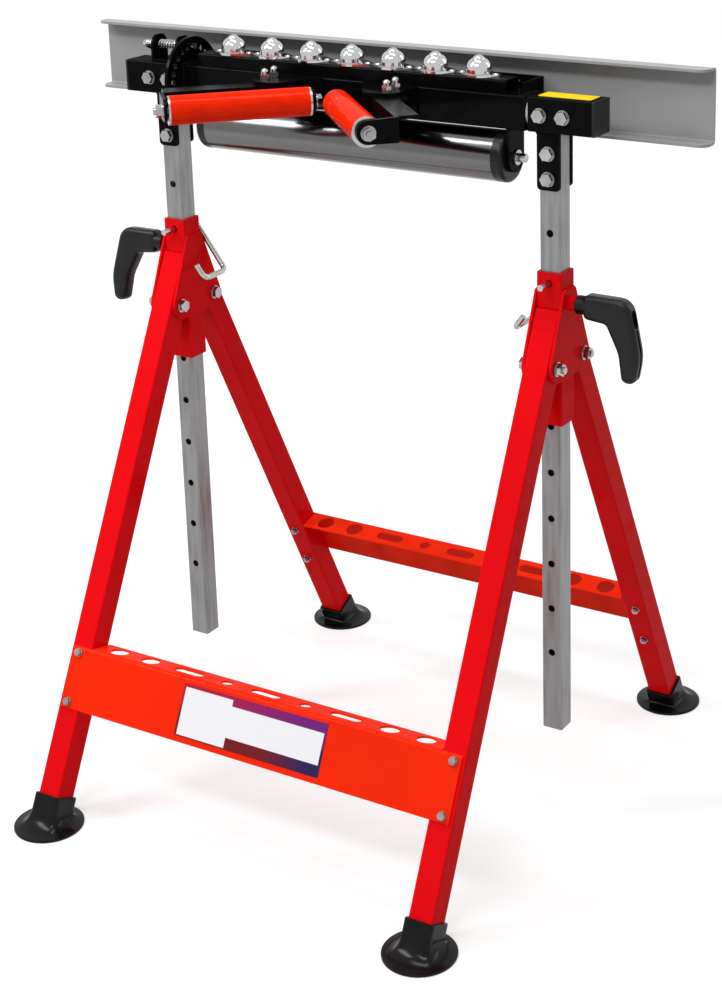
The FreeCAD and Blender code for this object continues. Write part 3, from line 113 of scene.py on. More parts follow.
# %% A socket that understands arithmetic
class Field:
    """One output in a shader tree."""

    def __init__(self, maker, socket):
        self.maker = maker
        self.socket = socket

    def math(self, operation, *others):
        values = dict(enumerate((self, *others)))
        return self.maker.make("ShaderNodeMath", {"operation": operation}, values)

    def __add__(self, other):
        return self.math("ADD", other)

    def __sub__(self, other):
        return self.math("SUBTRACT", other)

    def __mul__(self, other):
        return self.math("MULTIPLY", other)

    def __rsub__(self, other):
        return (self * -1.0) + other

    __radd__ = __add__
    __rmul__ = __mul__

    def smooth(self, low, high):
        """Rises gently from zero at the low value to one at the high value."""
        settings = {"interpolation_type": "SMOOTHSTEP"}
        values = {"Value": self, "From Min": low, "From Max": high}
        return self.maker.make("ShaderNodeMapRange", settings, values)


class NodeMaker:
    """Adds nodes to a shader tree, with their settings and the values or links of their sockets."""

    def __init__(self, tree):
        self.tree = tree

    def put(self, socket, value):
        if isinstance(value, Field):
            self.tree.links.new(value.socket, socket)
        else:
            socket.default_value = value

    def make(self, kind, settings, values, output=0):
        node = self.tree.nodes.new(kind)
        for key, setting in settings.items():
            setattr(node, key, setting)
        for key, value in values.items():
            self.put(node.inputs[key], value)
        return Field(self, node.outputs[output])


print("shader maths ready")

# %% A finish: a procedural material on a Principled shader
# A Mix node keeps its colour sockets at these places among those for numbers and vectors.
MIX_FACTOR, MIX_FIRST, MIX_SECOND, MIX_COLOUR = 0, 6, 7, 2


class Finish(NodeMaker):
    """A material whose constants sit on the shader's own sockets."""

    def __init__(self, name, colour, roughness, **constants):
        self.name = name
        self.base = colour
        self.material = bpy.data.materials.new(f"{name}_finish")
        self.material.use_nodes = True
        super().__init__(self.material.node_tree)
        self.shader = self.tree.nodes["Principled BSDF"]
        self.set("Base Color", (*colour, 1.0))
        self.set("Roughness", roughness)
        for socket, value in constants.items():
            self.set(socket.replace("_", " "), value)
        self.here = self.make("ShaderNodeTexCoord", {}, {}, "Object")

    def set(self, socket, value):
        self.put(self.shader.inputs[socket], value)

    def stretched(self, scale):
        return self.make("ShaderNodeMapping", {}, {"Vector": self.here, "Scale": scale})

    def noise(self, scale, detail=3.0, roughness=0.5, where=None):
        values = {"Vector": where or self.here, "Scale": scale}
        values.update({"Detail": detail, "Roughness": roughness})
        return self.make("ShaderNodeTexNoise", {}, values)

    def cells(self, scale, where):
        values = {"Vector": where, "Scale": scale}
        return self.make("ShaderNodeTexVoronoi", {}, values, "Distance")

    def axis(self, name):
        return self.make("ShaderNodeSeparateXYZ", {}, {"Vector": self.here}, name)

    def blend(self, factor, first, second):
        values = {MIX_FACTOR: factor}
        for place, colour in ((MIX_FIRST, first), (MIX_SECOND, second)):
            values[place] = colour if isinstance(colour, Field) else (*colour, 1.0)
        return self.make("ShaderNodeMix", {"data_type": "RGBA"}, values, MIX_COLOUR)

    def shade(self, amount):
        return tuple(min(1.0, c * amount) for c in self.base)

    def tint(self, factor, dark, light):
        """Lets the colour wander between two shades of itself."""
        self.set("Base Color", self.blend(factor, self.shade(dark), self.shade(light)))

    def relief(self, height, strength, distance):
        values = {"Height": height, "Strength": strength, "Distance": distance}
        self.set("Normal", self.make("ShaderNodeBump", {}, values))


print("finish helper ready")

# %% [markdown]
# ## Paint
# The trestle is powder coated. Powder melts into a glossy skin with a faint orange peel, a ripple
# of about a millimetre and a half, and its thickness wanders, so the colour and the gloss do too.
# The head's black coat is a fine texture powder: many tiny grains that break up the highlight. The
# rest is satin grey.

# %% Powder coats
PEEL_SCALE, POWDER_SCALE, WANDER_SCALE, RUB_SCALE = 620.0, 2600.0, 7.0, 38.0


def powder_coat(name, colour, roughness, peel, grain, gloss, coat, spread=0.06):
    paint = Finish(name, colour, roughness, IOR=gloss, Coat_Roughness=0.12)
    wander = paint.noise(WANDER_SCALE, 4.0)
    ripple = paint.noise(PEEL_SCALE, 1.5)
    grains = paint.noise(POWDER_SCALE, 2.0)
    paint.tint(wander.smooth(0.3, 0.7), 1.0 - spread, 1.0 + spread)
    rubbed = paint.noise(RUB_SCALE, 5.0, 0.65).smooth(0.52, 0.75)
    paint.set("Roughness", wander * 0.10 + rubbed * 0.09 + (roughness - 0.06))
    paint.set("Coat Weight", coat - rubbed * coat)
    paint.relief(ripple * peel + grains * grain, 0.35, 0.00035)
    return paint


red_paint = powder_coat("red_paint", (0.76, 0.003, 0.006), 0.24,
                        peel=0.8, grain=0.15, gloss=1.04, coat=0.06)
orange_red_paint = powder_coat("orange_red_paint", (0.86, 0.022, 0.003), 0.28,
                               peel=0.8, grain=0.15, gloss=1.04, coat=0.06)
black_paint = powder_coat("black_paint", (0.0022, 0.0022, 0.0024), 0.16,
                          peel=0.4, grain=0.3, gloss=1.06, coat=0.06, spread=0.25)
grey_paint = powder_coat("grey_paint", (0.31, 0.31, 0.315), 0.40,
                         peel=0.5, grain=0.35, gloss=1.35, coat=0.04, spread=0.04)
print("four powder coats")

# %% [markdown]
# ## Bare metal
# The posts are galvanised tube: a zinc skin with soft crystal patches, drawn out along the tube by
# the rolls, and dull streaks where hands and sleeves have rubbed. Fasteners are bright zinc plate.
# The long roller is ground steel, so its scratches run round it. The balls and cups are polished.


# %% Plated fasteners and bright steel
def metal(name, colour, roughness, dark, light):
    steel = Finish(name, colour, roughness, Metallic=1.0)
    patches = steel.noise(60.0, 4.0, 0.6)
    steel.tint(patches.smooth(0.3, 0.7), dark, light)
    steel.set("Roughness", patches * 0.16 + (roughness - 0.08))
    steel.relief(steel.noise(1500.0, 2.0), 0.12, 0.0002)
    return steel


zinc = metal("zinc", (0.36, 0.36, 0.355), 0.14, dark=0.80, light=1.15)
bright_steel = metal("bright_steel", (0.44, 0.44, 0.44), 0.20, dark=0.88, light=1.08)
print("zinc and bright steel")

# %% Galvanised tube, ground steel and polished chrome
CRYSTAL_STRETCH, STREAK_STRETCH = (1.0, 1.0, 0.12), (1.0, 1.0, 0.02)
RING_STRETCH = (1.0, 0.02, 0.02)

galvanised = Finish("galvanised", (0.232, 0.232, 0.236), 0.36, Metallic=0.85)
crystals = galvanised.cells(150.0, galvanised.stretched(CRYSTAL_STRETCH))
streaks = galvanised.noise(220.0, 4.0, 0.6, galvanised.stretched(STREAK_STRETCH))
galvanised.tint((crystals * 0.5 + streaks * 0.6).smooth(0.25, 0.75), 0.78, 1.14)
galvanised.set("Roughness", crystals * 0.12 + streaks * 0.12 + 0.26)
galvanised.relief(streaks, 0.08, 0.0002)

satin_steel = Finish("satin_steel", (0.13, 0.13, 0.133), 0.16, Metallic=1.0)
rings = satin_steel.noise(700.0, 3.0, 0.6, satin_steel.stretched(RING_STRETCH))
smears = satin_steel.noise(9.0, 4.0, 0.6)
satin_steel.tint((rings * 0.3 + smears * 0.7).smooth(0.25, 0.75), 0.92, 1.08)
satin_steel.set("Roughness", rings * 0.05 + smears * 0.08 + 0.10)
satin_steel.relief(rings, 0.03, 0.0002)

chrome = Finish("chrome", (0.54, 0.54, 0.55), 0.07, Metallic=1.0)
haze = chrome.noise(90.0, 5.0, 0.6).smooth(0.35, 0.8)
chrome.tint(haze, 1.03, 0.90)
chrome.set("Roughness", haze * 0.11 + 0.045)
print("galvanised tube, ground steel and chrome")

# %% [markdown]
# ## Plastic and rubber
# The V rollers have a glossy cast coat, the levers a moulded grain, and the feet are shiny black
# rubber that has picked up a little dust. The washers at the head's ends are milky nylon.


# %% Moulded and cast finishes
def moulded(name, colour, roughness, grain, depth, gloss, spread=0.15, dust=0.0):
    plastic = Finish(name, colour, roughness, IOR=gloss, Coat_Roughness=0.1)
    worn = plastic.noise(45.0, 5.0, 0.62)
    pores = plastic.noise(grain, 2.0)
    plastic.tint(worn.smooth(0.35, 0.75), 1.0 - spread, 1.0 + spread + dust)
    plastic.set("Roughness", worn * 0.18 + (roughness - 0.09))
    plastic.relief(pores, depth, 0.0003)
    return plastic


orange_coat = moulded("orange_coat", (0.82, 0.019, 0.0006), 0.13,
                      grain=160.0, depth=0.02, gloss=1.03, spread=0.10)
orange_coat.set("Coat Weight", orange_coat.noise(20.0, 3.0) * 0.03 + 0.06)
orange_coat.set("Coat Roughness", 0.03)
black_plastic = moulded("black_plastic", (0.006, 0.006, 0.0063), 0.30,
                        grain=2400.0, depth=0.25, gloss=1.30, dust=0.4)
foot_rubber = moulded("foot_rubber", (0.003, 0.003, 0.0032), 0.18,
                      grain=700.0, depth=0.06, gloss=1.24, dust=0.6)
white_nylon = moulded("white_nylon", (0.72, 0.71, 0.68), 0.45,
                      grain=900.0, depth=0.10, gloss=1.45)
finishes = {finish.name: finish for finish in (
    red_paint, orange_red_paint, black_paint, grey_paint, zinc, bright_steel, galvanised,
    satin_steel, chrome, orange_coat, black_plastic, foot_rubber, white_nylon)}
print(len(finishes), "finishes")

# %% [markdown]
# ## Dressing the CAD pieces
# The record says which finish each piece has, so one loop hands the materials out. The meshes are
# left as they are: only the material slots change.

# %% Give every CAD piece its finish
for entry in frame["record"]["subparts"]:
    piece = nodes[entry["node"]]
    piece.data.materials.clear()
    piece.data.materials.append(finishes[entry["material_slot"]].material)

# %% [markdown]
# ## Moulded shapes: feet and levers
# Rubber feet and plastic levers come out of a mould, with soft edges that a plain solid lacks. Both
# are built as rings of points that are joined into a closed skin. A skin replaces the CAD piece in
# the picture, and the CAD piece stays behind it for collisions.

# %% Rings into a skin, and a skin onto a body
SHARP_DEGREES = 35


def hang(name, mesh, body, replaced=None):
    """Makes a mesh a piece on a body, and hides the CAD piece it stands for, if one is given."""
    mesh.name = name
    piece = new_object(name, mesh)
    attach(piece, body)
    if replaced:
        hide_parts(replaced)
    print(name, len(mesh.polygons), "faces")
    return piece


def settled(mesh, finish):
    """Turns every face outwards, smooths all but sharp edges and gives the mesh its material."""
    shape = bmesh.new()
    shape.from_mesh(mesh)
    bmesh.ops.recalc_face_normals(shape, faces=shape.faces)
    shape.to_mesh(mesh)
    shape.free()
    mesh.shade_smooth()
    mesh.set_sharp_from_angle(angle=math.radians(SHARP_DEGREES))
    mesh.materials.clear()
    mesh.materials.append(finish.material)
    return mesh


def skin(rings):
    """Joins rings with equal counts of points, and closes the first and the last."""
    count = len(rings[0])
    corners = [point for ring in rings for point in ring]
    faces = [tuple(range(count)), tuple(range(len(corners) - count, len(corners)))]
    for first in range(0, len(corners) - count, count):
        for i in range(count):
            j = (i + 1) % count
            faces.append((first + i, first + j, first + count + j, first + count + i))
    mesh = bpy.data.meshes.new("skin")
    mesh.from_pydata(corners, [], faces)
    return mesh


print("skin helpers ready")

# %% [markdown]
# ### Feet
# A foot is a square socket that flares into a round pad. Each ring goes round all the way: the
# lowest are circles, the upper ones are squares that lean with the leg, and between them a curve
# through four points bends every side out of the socket and flat onto the pad.

# %% Sizes and rings of a foot
FOOT_Y, PIVOT_Y, PIVOT_Z = 0.316, 0.033, 0.575
LEAN = math.atan((FOOT_Y - PIVOT_Y) / PIVOT_Z)
PAD_RADIUS, PAD_RIM = 0.0415, 0.0035
PAD_EDGE_LOW, PAD_EDGE_HIGH, PAD_EDGE_RISE = 0.0005, 0.0004, 0.0006
SOCKET_HALF, SOCKET_ROOM, SOCKET_EDGE = 0.0183, 0.0153, 0.0008
SOCKET_STRAIGHT, SOCKET_TOP, SOCKET_SEAT = 0.0190, 0.0360, 0.0120
SQUARE_OUTSIDE, SQUARE_INSIDE = 12, 20
FLARE_PULL, FLARE_LIFT = 0.62, 0.0016
ROUND_STEPS, FLARE_STEPS = 96, 12


def bend(points, share):
    """A point on the curve of four points."""
    while len(points) > 1:
        points = [a.lerp(b, share) for a, b in zip(points, points[1:])]
    return points[0]


def foot_rings(centre, toward):
    """Rings from the sole up the outside and down to the seat; toward is the way the leg leans."""
    axis = Vector((0, toward * math.sin(LEAN), math.cos(LEAN)))
    over = Vector((0, math.cos(LEAN), -toward * math.sin(LEAN)))
    angles = [math.tau * i / ROUND_STEPS for i in range(ROUND_STEPS)]

    def circle(radius, height):
        return [centre + Vector((radius * math.cos(a), radius * math.sin(a), height))
                for a in angles]

    def square(half, along, power):
        ring = []
        for a in angles:
            x, y = math.cos(a), math.sin(a)
            reach = half / (abs(x) ** power + abs(y) ** power) ** (1 / power)
            ring.append(centre + axis * along + Vector((reach * x, 0, 0)) + over * reach * y)
        return ring

    pad = [circle(PAD_RADIUS - PAD_EDGE_LOW, 0), circle(PAD_RADIUS, PAD_EDGE_RISE),
           circle(PAD_RADIUS, PAD_RIM - PAD_EDGE_RISE), circle(PAD_RADIUS - PAD_EDGE_HIGH, PAD_RIM)]
    collar = square(SOCKET_HALF, SOCKET_STRAIGHT, SQUARE_OUTSIDE)
    flare = []
    for step in range(1, FLARE_STEPS):
        ring = []
        for outer, inner in zip(pad[-1], collar):
            inward = Vector((inner.x - outer.x, inner.y - outer.y, 0)) * FLARE_PULL
            inward += Vector((0, 0, FLARE_LIFT))
            down = axis * (FLARE_PULL * (inner.z - PAD_RIM) / math.cos(LEAN))
            ring.append(bend([outer, outer + inward, inner - down, inner], step / FLARE_STEPS))
        flare.append(ring)
    socket = [collar, square(SOCKET_HALF, SOCKET_TOP - SOCKET_EDGE, SQUARE_OUTSIDE),
              square(SOCKET_HALF - SOCKET_EDGE, SOCKET_TOP, SQUARE_OUTSIDE),
              square(SOCKET_ROOM, SOCKET_TOP, SQUARE_INSIDE),
              square(SOCKET_ROOM, SOCKET_SEAT, SQUARE_INSIDE)]
    return pad + flare + socket


print("legs lean", round(math.degrees(LEAN), 1), "degrees")

# %% Flared rubber feet
for row, toward in (("front", 1), ("rear", -1)):
    for hand in ("left", "right"):
        low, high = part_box(f"{row}_{hand}_foot")
        near = low.y + PAD_RADIUS if toward > 0 else high.y - PAD_RADIUS
        mesh = skin(foot_rings(Vector(((low.x + high.x) / 2, near, 0)), toward))
        hang(f"{row}_{hand}_flared_foot", settled(mesh, foot_rubber), f"{row}_legs",
             f"{row}_{hand}_foot")

# %% [markdown]
# ### Clamp levers
# A clamp lever has an outline like an L and well rounded edges. The outline is drawn once with a
# radius at each corner. Insetting it step by step towards both sides gives the rounding. A collar
# is joined on, and the screw recess and the long groove are carved out, as the mould's cores do.

# %% Rounded outlines, and carving
CORNER_STEPS = 6


def rounded_outline(corners, inset=0.0):
    """A polygon, counter-clockwise, moved inwards, with each corner rounded by its own radius."""
    spots = [Vector(corner[:2]) for corner in corners]
    points = []
    for i, corner in enumerate(corners):
        before = (spots[i] - spots[i - 1]).normalized()
        after = (spots[(i + 1) % len(spots)] - spots[i]).normalized()
        left, left_after = Vector((-before.y, before.x)), Vector((-after.y, after.x))
        spot = spots[i] + (left + left_after) * (inset / (1 + left.dot(left_after)))
        turn = math.atan2(before.x * after.y - before.y * after.x, before.dot(after))
        radius = max(corner[2] - math.copysign(inset, turn), 0.00001)
        start = spot - before * radius * math.tan(abs(turn) / 2)
        centre = start + left * math.copysign(radius, turn)
        points += [centre + Matrix.Rotation(turn * k / CORNER_STEPS, 2) @ (start - centre)
                   for k in range(CORNER_STEPS + 1)]
    return points


def plain_mesh(thing):
    """A copy of an object's mesh with its modifiers applied."""
    evaluated = thing.evaluated_get(bpy.context.evaluated_depsgraph_get())
    return bpy.data.meshes.new_from_object(evaluated)


def carved(mesh, tools, operation):
    """The mesh after joining on or cutting away each tool."""
    base = new_object("carved", mesh)
    cutters = [new_object("tool", tool) for tool in tools]
    for cutter in cutters:
        modifier = base.modifiers.new("carve", "BOOLEAN")
        modifier.operation, modifier.object, modifier.solver = operation, cutter, "EXACT"
    result = plain_mesh(base)
    for thing in (base, *cutters):
        bpy.data.objects.remove(thing)
    return result


print("outline and carving helpers ready")

# %% The lever's sizes and its mesh
LEVER_CORNERS = ((0.0370, -0.0140, 0.0070), (0.0650, -0.0170, 0.0060), (0.0800, -0.0480, 0.0400),
                 (0.0840, -0.0790, 0.0072), (0.1000, -0.0830, 0.0090), (0.1060, -0.0500, 0.0600),
                 (0.0930, 0.0135, 0.0180), (0.0370, 0.0140, 0.0070))
LEVER_FLAT, LEVER_ROUND = 0.0040, 0.0065
LEVER_COLLAR = ((0.0280, 0.0094), (0.0286, 0.0100), (0.0450, 0.0100))
CORE_END, GROOVE_HALF = 0.1300, 0.0020
GROOVE_CORNERS = ((0.0965, -0.0199), (0.1020, -0.0500), (0.0991, -0.0730),
                  (CORE_END, -0.0730), (CORE_END, -0.0199))
RECESS_START, RECESS_HALF, RECESS_LOW, RECESS_HIGH = 0.0915, 0.0050, -0.0133, -0.0029
BEND_DEGREES, COLLAR_STEPS = 15, 48


def lever_mesh():
    """A right lever with its screw along X, before it is brought to its post."""
    bends = [math.radians(a) for a in range(0, 91, BEND_DEGREES)]
    levels = [(LEVER_FLAT + LEVER_ROUND * math.sin(a), LEVER_ROUND * (1 - math.cos(a)))
              for a in bends]
    steps = [(-y, inset) for y, inset in reversed(levels)] + levels
    blank = skin([[Vector((p.x, y, p.y)) for p in rounded_outline(LEVER_CORNERS, inset)]
                  for y, inset in steps])
    turns = [math.tau * i / COLLAR_STEPS for i in range(COLLAR_STEPS)]
    collar = skin([[Vector((x, r * math.cos(a), r * math.sin(a))) for a in turns]
                   for x, r in LEVER_COLLAR])
    groove = skin([[Vector((x, y, z)) for x, z in GROOVE_CORNERS]
                   for y in (-GROOVE_HALF, GROOVE_HALF)])
    ends = [(RECESS_HIGH, math.radians(a)) for a in range(0, 181, BEND_DEGREES)]
    ends += [(RECESS_LOW, math.radians(a)) for a in range(180, 361, BEND_DEGREES)]
    oval = [(RECESS_HALF * math.cos(a), z + RECESS_HALF * math.sin(a)) for z, a in ends]
    recess = skin([[Vector((x, y, z)) for y, z in oval] for x in (RECESS_START, CORE_END)])
    parts = [settled(part, black_plastic) for part in (blank, collar, groove, recess)]
    return carved(carved(parts[0], parts[1:2], "UNION"), parts[2:], "DIFFERENCE")


print("lever outline with", len(LEVER_CORNERS), "corners")

# %% Moulded levers on both posts
for hand, side, tilt in (("right", 1, 0), ("left", -1, -8)):
    screw = middle(f"{hand}_clamp_screw")
    spot = Matrix.Translation((middle(f"{hand}_post").x, screw.y, screw.z))
    mirrored = Matrix.Scale(side, 4, (1, 0, 0))
    mesh = lever_mesh()
    mesh.transform(spot @ mirrored @ Matrix.Rotation(math.radians(tilt), 4, "X"))
    hang(f"{hand}_moulded_lever", settled(mesh, black_plastic), f"{hand}_clamp",
         f"{hand}_clamp_lever")

# %% [markdown]
# ## Rules that repeat: Geometry Nodes
# Rivets in the cup flanges, ribs on the lever collars, turns of a spring and drops of weld all
# repeat. Each gets a small node tree with named inputs. The tree's result is copied to a plain
# mesh, and the modifier goes away, so the piece exports like any other.

# %% Helpers that build a node tree and keep its mesh
LAID_ALONG_X = (0, math.radians(90), 0)


def new_tree(name, inputs):
    """A geometry tree with a Geometry input and named size inputs."""
    tree = bpy.data.node_groups.new(name, "GeometryNodeTree")
    tree.interface.new_socket("Geometry", in_out="INPUT", socket_type="NodeSocketGeometry")
    for label, value in inputs.items():
        kind = "NodeSocketInt" if isinstance(value, int) else "NodeSocketFloat"
        tree.interface.new_socket(label, in_out="INPUT", socket_type=kind)
    tree.interface.new_socket("Geometry", in_out="OUTPUT", socket_type="NodeSocketGeometry")
    return tree


def add(tree, kind, settings=None, **links):
    """One node of a tree, with its settings and the values or links of its sockets."""
    node = tree.nodes.new(kind)
    for key, value in (settings or {}).items():
        setattr(node, key, value)
    for key, value in links.items():
        socket = node.inputs[key.replace("_", " ")]
        if isinstance(value, bpy.types.NodeSocket):
            tree.links.new(value, socket)
        else:
            socket.default_value = value
    return node


def finish_tree(tree, geometry, material):
    real = add(tree, "GeometryNodeRealizeInstances", Geometry=geometry)
    dressed = add(tree, "GeometryNodeSetMaterial", Geometry=real.outputs[0], Material=material)
    add(tree, "NodeGroupOutput", Geometry=dressed.outputs[0])


def keep(name, points, tree, sizes, body):
    """Runs a tree on a mesh of points and keeps the result as a plain piece on a body."""
    seed = bpy.data.meshes.new(f"{name}_points")
    seed.from_pydata(points, [], [])
    maker = new_object(f"{name}_maker", seed)
    modifier = maker.modifiers.new("grow", "NODES")
    modifier.node_group = tree
    for socket in tree.interface.items_tree:
        if socket.in_out == "INPUT" and socket.name in sizes:
            modifier[socket.identifier] = sizes[socket.name]
    mesh = plain_mesh(maker)
    maker.modifiers.remove(modifier)
    bpy.data.objects.remove(maker)
    return hang(name, mesh, body)


print("geometry helpers ready")

# %% [markdown]
# ### Cup rivets
# Each ball cup is held by two low rivets in the pointed lobes of its flange. A cone with its tip
# cut off is close to a rivet's head, and a small round dimple is left by the punch.

# %% Rivets in the lobes of the cup flanges
BALLS, CUP_FLANGE, LOBE_REACH = 7, 0.0025, 0.0212
PUNCH_DEPTH, PUNCH_LIFT = 0.0010, 0.0012
RIVET = {"Head radius": 0.0032, "Top radius": 0.0022, "Head height": 0.0010,
         "Dimple radius": 0.0011}

flange_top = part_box("ball_cups")[0].z + CUP_FLANGE
first = middle("ball_1").x
pitch = middle("ball_2").x - first
rivet_spots = [(first + i * pitch + side * LOBE_REACH, 0, flange_top)
               for i in range(BALLS) for side in (-1, 1)]

tree = new_tree("cup_rivet", RIVET)
sizes = add(tree, "NodeGroupInput")
head = add(tree, "GeometryNodeMeshCone", {"fill_type": "NGON"}, Vertices=20,
           Radius_Top=sizes.outputs["Top radius"], Radius_Bottom=sizes.outputs["Head radius"],
           Depth=sizes.outputs["Head height"])
punch = add(tree, "GeometryNodeMeshCylinder", Vertices=12, Radius=sizes.outputs["Dimple radius"],
            Depth=PUNCH_DEPTH)
lifted = add(tree, "GeometryNodeTransform", Geometry=punch.outputs["Mesh"],
             Translation=(0, 0, PUNCH_LIFT))
dimpled = add(tree, "GeometryNodeMeshBoolean", {"operation": "DIFFERENCE"})
tree.links.new(head.outputs["Mesh"], dimpled.inputs[0])
tree.links.new(lifted.outputs[0], dimpled.inputs[1])
placed = add(tree, "GeometryNodeInstanceOnPoints", Points=sizes.outputs["Geometry"],
             Instance=dimpled.outputs["Mesh"])
finish_tree(tree, placed.outputs[0], chrome.material)
keep("cup_rivets", rivet_spots, tree, RIVET, "head")

# %% [markdown]
# ### Ribs on the lever collars
# The collar behind each lever is ribbed so that it can be lifted and turned by hand. The ribs stand
# round a circle: a curve circle is resampled to one point per rib, and each rib looks outwards.

# %% A ring of ribs round each lever collar
RIBS = {"Ribs": 22, "Collar radius": 0.0100, "Rib length": 0.0078}
RIB_RISE, RIB_WIDTH, RIB_MIDDLE = 0.0012, 0.0013, 0.0045


def ribbed_collar(name, lever, screw, body, side):
    low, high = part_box(lever)
    start = low.x if side > 0 else high.x
    axis = middle(screw)
    tree = new_tree(name, RIBS)
    sizes = add(tree, "NodeGroupInput")
    ring = add(tree, "GeometryNodeCurvePrimitiveCircle", Radius=sizes.outputs["Collar radius"])
    points = add(tree, "GeometryNodeResampleCurve", Curve=ring.outputs["Curve"],
                 Count=sizes.outputs["Ribs"])
    size = add(tree, "ShaderNodeCombineXYZ", X=RIB_RISE, Y=RIB_WIDTH, Z=sizes.outputs["Rib length"])
    rib = add(tree, "GeometryNodeMeshCube", Size=size.outputs[0])
    where = add(tree, "GeometryNodeInputPosition")
    outward = add(tree, "FunctionNodeAlignRotationToVector", {"axis": "X"}, Vector=where.outputs[0])
    ribs = add(tree, "GeometryNodeInstanceOnPoints", Points=points.outputs[0],
               Instance=rib.outputs["Mesh"], Rotation=outward.outputs[0])
    turned = add(tree, "GeometryNodeTransform", Geometry=ribs.outputs[0], Rotation=LAID_ALONG_X,
                 Translation=(start + side * RIB_MIDDLE, axis.y, axis.z))
    finish_tree(tree, turned.outputs[0], black_plastic.material)
    keep(name, [(0, 0, 0)], tree, RIBS, body)


for hand, side in (("right", 1), ("left", -1)):
    ribbed_collar(f"{hand}_collar_ribs", f"{hand}_clamp_lever", f"{hand}_clamp_screw",
                  f"{hand}_clamp", side)

# %% [markdown]
# ### The plunger's spring
# A coil spring pushes the plunger into the index disc. A spiral curve swept by a small circle is
# exactly a wound wire.

# %% A coil spring wound along the plunger
PLUNGER_STROKE, WIRE_RADIUS = 0.014, 0.0007
coil_low, coil_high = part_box("plunger_spring")
coil_middle = middle("plunger_spring")
coil_length = coil_high.x - coil_low.x
COIL = {"Wire radius": WIRE_RADIUS, "Coil radius": 0.0046, "Turns": 6.0,
        "Length": coil_length - 2 * WIRE_RADIUS}

tree = new_tree("wound_coil", COIL)
sizes = add(tree, "NodeGroupInput")
spiral = add(tree, "GeometryNodeCurveSpiral", Resolution=40, Rotations=sizes.outputs["Turns"],
             Start_Radius=sizes.outputs["Coil radius"], End_Radius=sizes.outputs["Coil radius"],
             Height=sizes.outputs["Length"])
wire = add(tree, "GeometryNodeCurvePrimitiveCircle", Resolution=10,
           Radius=sizes.outputs["Wire radius"])
wound = add(tree, "GeometryNodeCurveToMesh", Curve=spiral.outputs[0],
            Profile_Curve=wire.outputs["Curve"], Fill_Caps=True)
laid = add(tree, "GeometryNodeTransform", Geometry=wound.outputs[0], Rotation=LAID_ALONG_X,
           Translation=(coil_low.x + WIRE_RADIUS, coil_middle.y, coil_middle.z))
finish_tree(tree, laid.outputs[0], bright_steel.material)
coil = keep("plunger_coil", [(0, 0, 0)], tree, COIL, "carriage")
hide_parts("plunger_spring")
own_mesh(coil)

# %% [markdown]
# ### Weld beads
# The plates are welded to the tubes. A bead of weld is a row of overlapping drops, each a little
# different, so a drop is set on points along the seam, and its size comes from a fixed seed.

# %% Drops of weld along a seam
WELD_SPACING = 0.0021
DROP = {"Drop radius": 0.0019, "Smallest": 0.82, "Largest": 1.12}
# A Random Value node keeps its number sockets at these places among those for vectors.
RANDOM_LOW, RANDOM_HIGH, RANDOM_NUMBER = 2, 3, 1


def seam(start, end):
    start, end = Vector(start), Vector(end)
    count = max(2, round((end - start).length / WELD_SPACING))
    return [tuple(start.lerp(end, i / (count - 1))) for i in range(count)]


def weld(name, points, body, slot, seed):
    drop_sizes = {**DROP, "Seed": seed}
    tree = new_tree(name, drop_sizes)
    sizes = add(tree, "NodeGroupInput")
    drop = add(tree, "GeometryNodeMeshIcoSphere", Subdivisions=2,
               Radius=sizes.outputs["Drop radius"])
    size = add(tree, "FunctionNodeRandomValue", {"data_type": "FLOAT"}, Seed=sizes.outputs["Seed"])
    tree.links.new(sizes.outputs["Smallest"], size.inputs[RANDOM_LOW])
    tree.links.new(sizes.outputs["Largest"], size.inputs[RANDOM_HIGH])
    drops = add(tree, "GeometryNodeInstanceOnPoints", Points=sizes.outputs["Geometry"],
                Instance=drop.outputs["Mesh"], Scale=size.outputs[RANDOM_NUMBER])
    finish_tree(tree, drops.outputs[0], finishes[slot].material)
    keep(name, points, tree, drop_sizes, body)


print("weld helpers ready")

# %% Welds on the head mounts, the head and the sleeves
TUBE, MOUNT_PLATE, PLATE_PAST, WELD_SINK = 0.038, 0.003, 0.0005, 0.0004
YOKE_MIDDLE, YOKE_HALF, TUBE_SEAM = 0.005, 0.016, 0.0192
GUSSET_FACE, GUSSET_HALF, GUSSET_DROP = 0.0165, 0.0125, 0.0208
BOTH = (-1, 1)

mount_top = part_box("right_head_mount")[1].z
under_tube = mount_top - TUBE - WELD_SINK
post_low, post_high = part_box("right_post")
inner_x, outer_x = post_low.x - PLATE_PAST, post_high.x + PLATE_PAST
plate_y = post_high.y + MOUNT_PLATE
mount_seams = []
for side, face in ((side, face) for side in BOTH for face in BOTH):
    mount_seams += seam((side * inner_x, face * plate_y, under_tube),
                        (side * outer_x, face * plate_y, under_tube))
weld("mount_welds", mount_seams, "carriage", "black_paint", 3)

yoke_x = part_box("steel_roller_caps")[1].x + YOKE_MIDDLE
head_seams = []
for side in BOTH:
    head_seams += seam((side * yoke_x, -YOKE_HALF, under_tube),
                       (side * yoke_x, YOKE_HALF, under_tube))
disc_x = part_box("index_disc")[1].x + WELD_SINK
tube_z = mount_top - TUBE / 2
corners = [(disc_x, y * TUBE_SEAM, tube_z + z * TUBE_SEAM)
           for y, z in ((-1, -1), (1, -1), (1, 1), (-1, 1))]
for corner, next_corner in zip(corners, corners[1:] + corners[:1]):
    head_seams += seam(corner, next_corner)
weld("head_welds", head_seams, "head", "black_paint", 5)

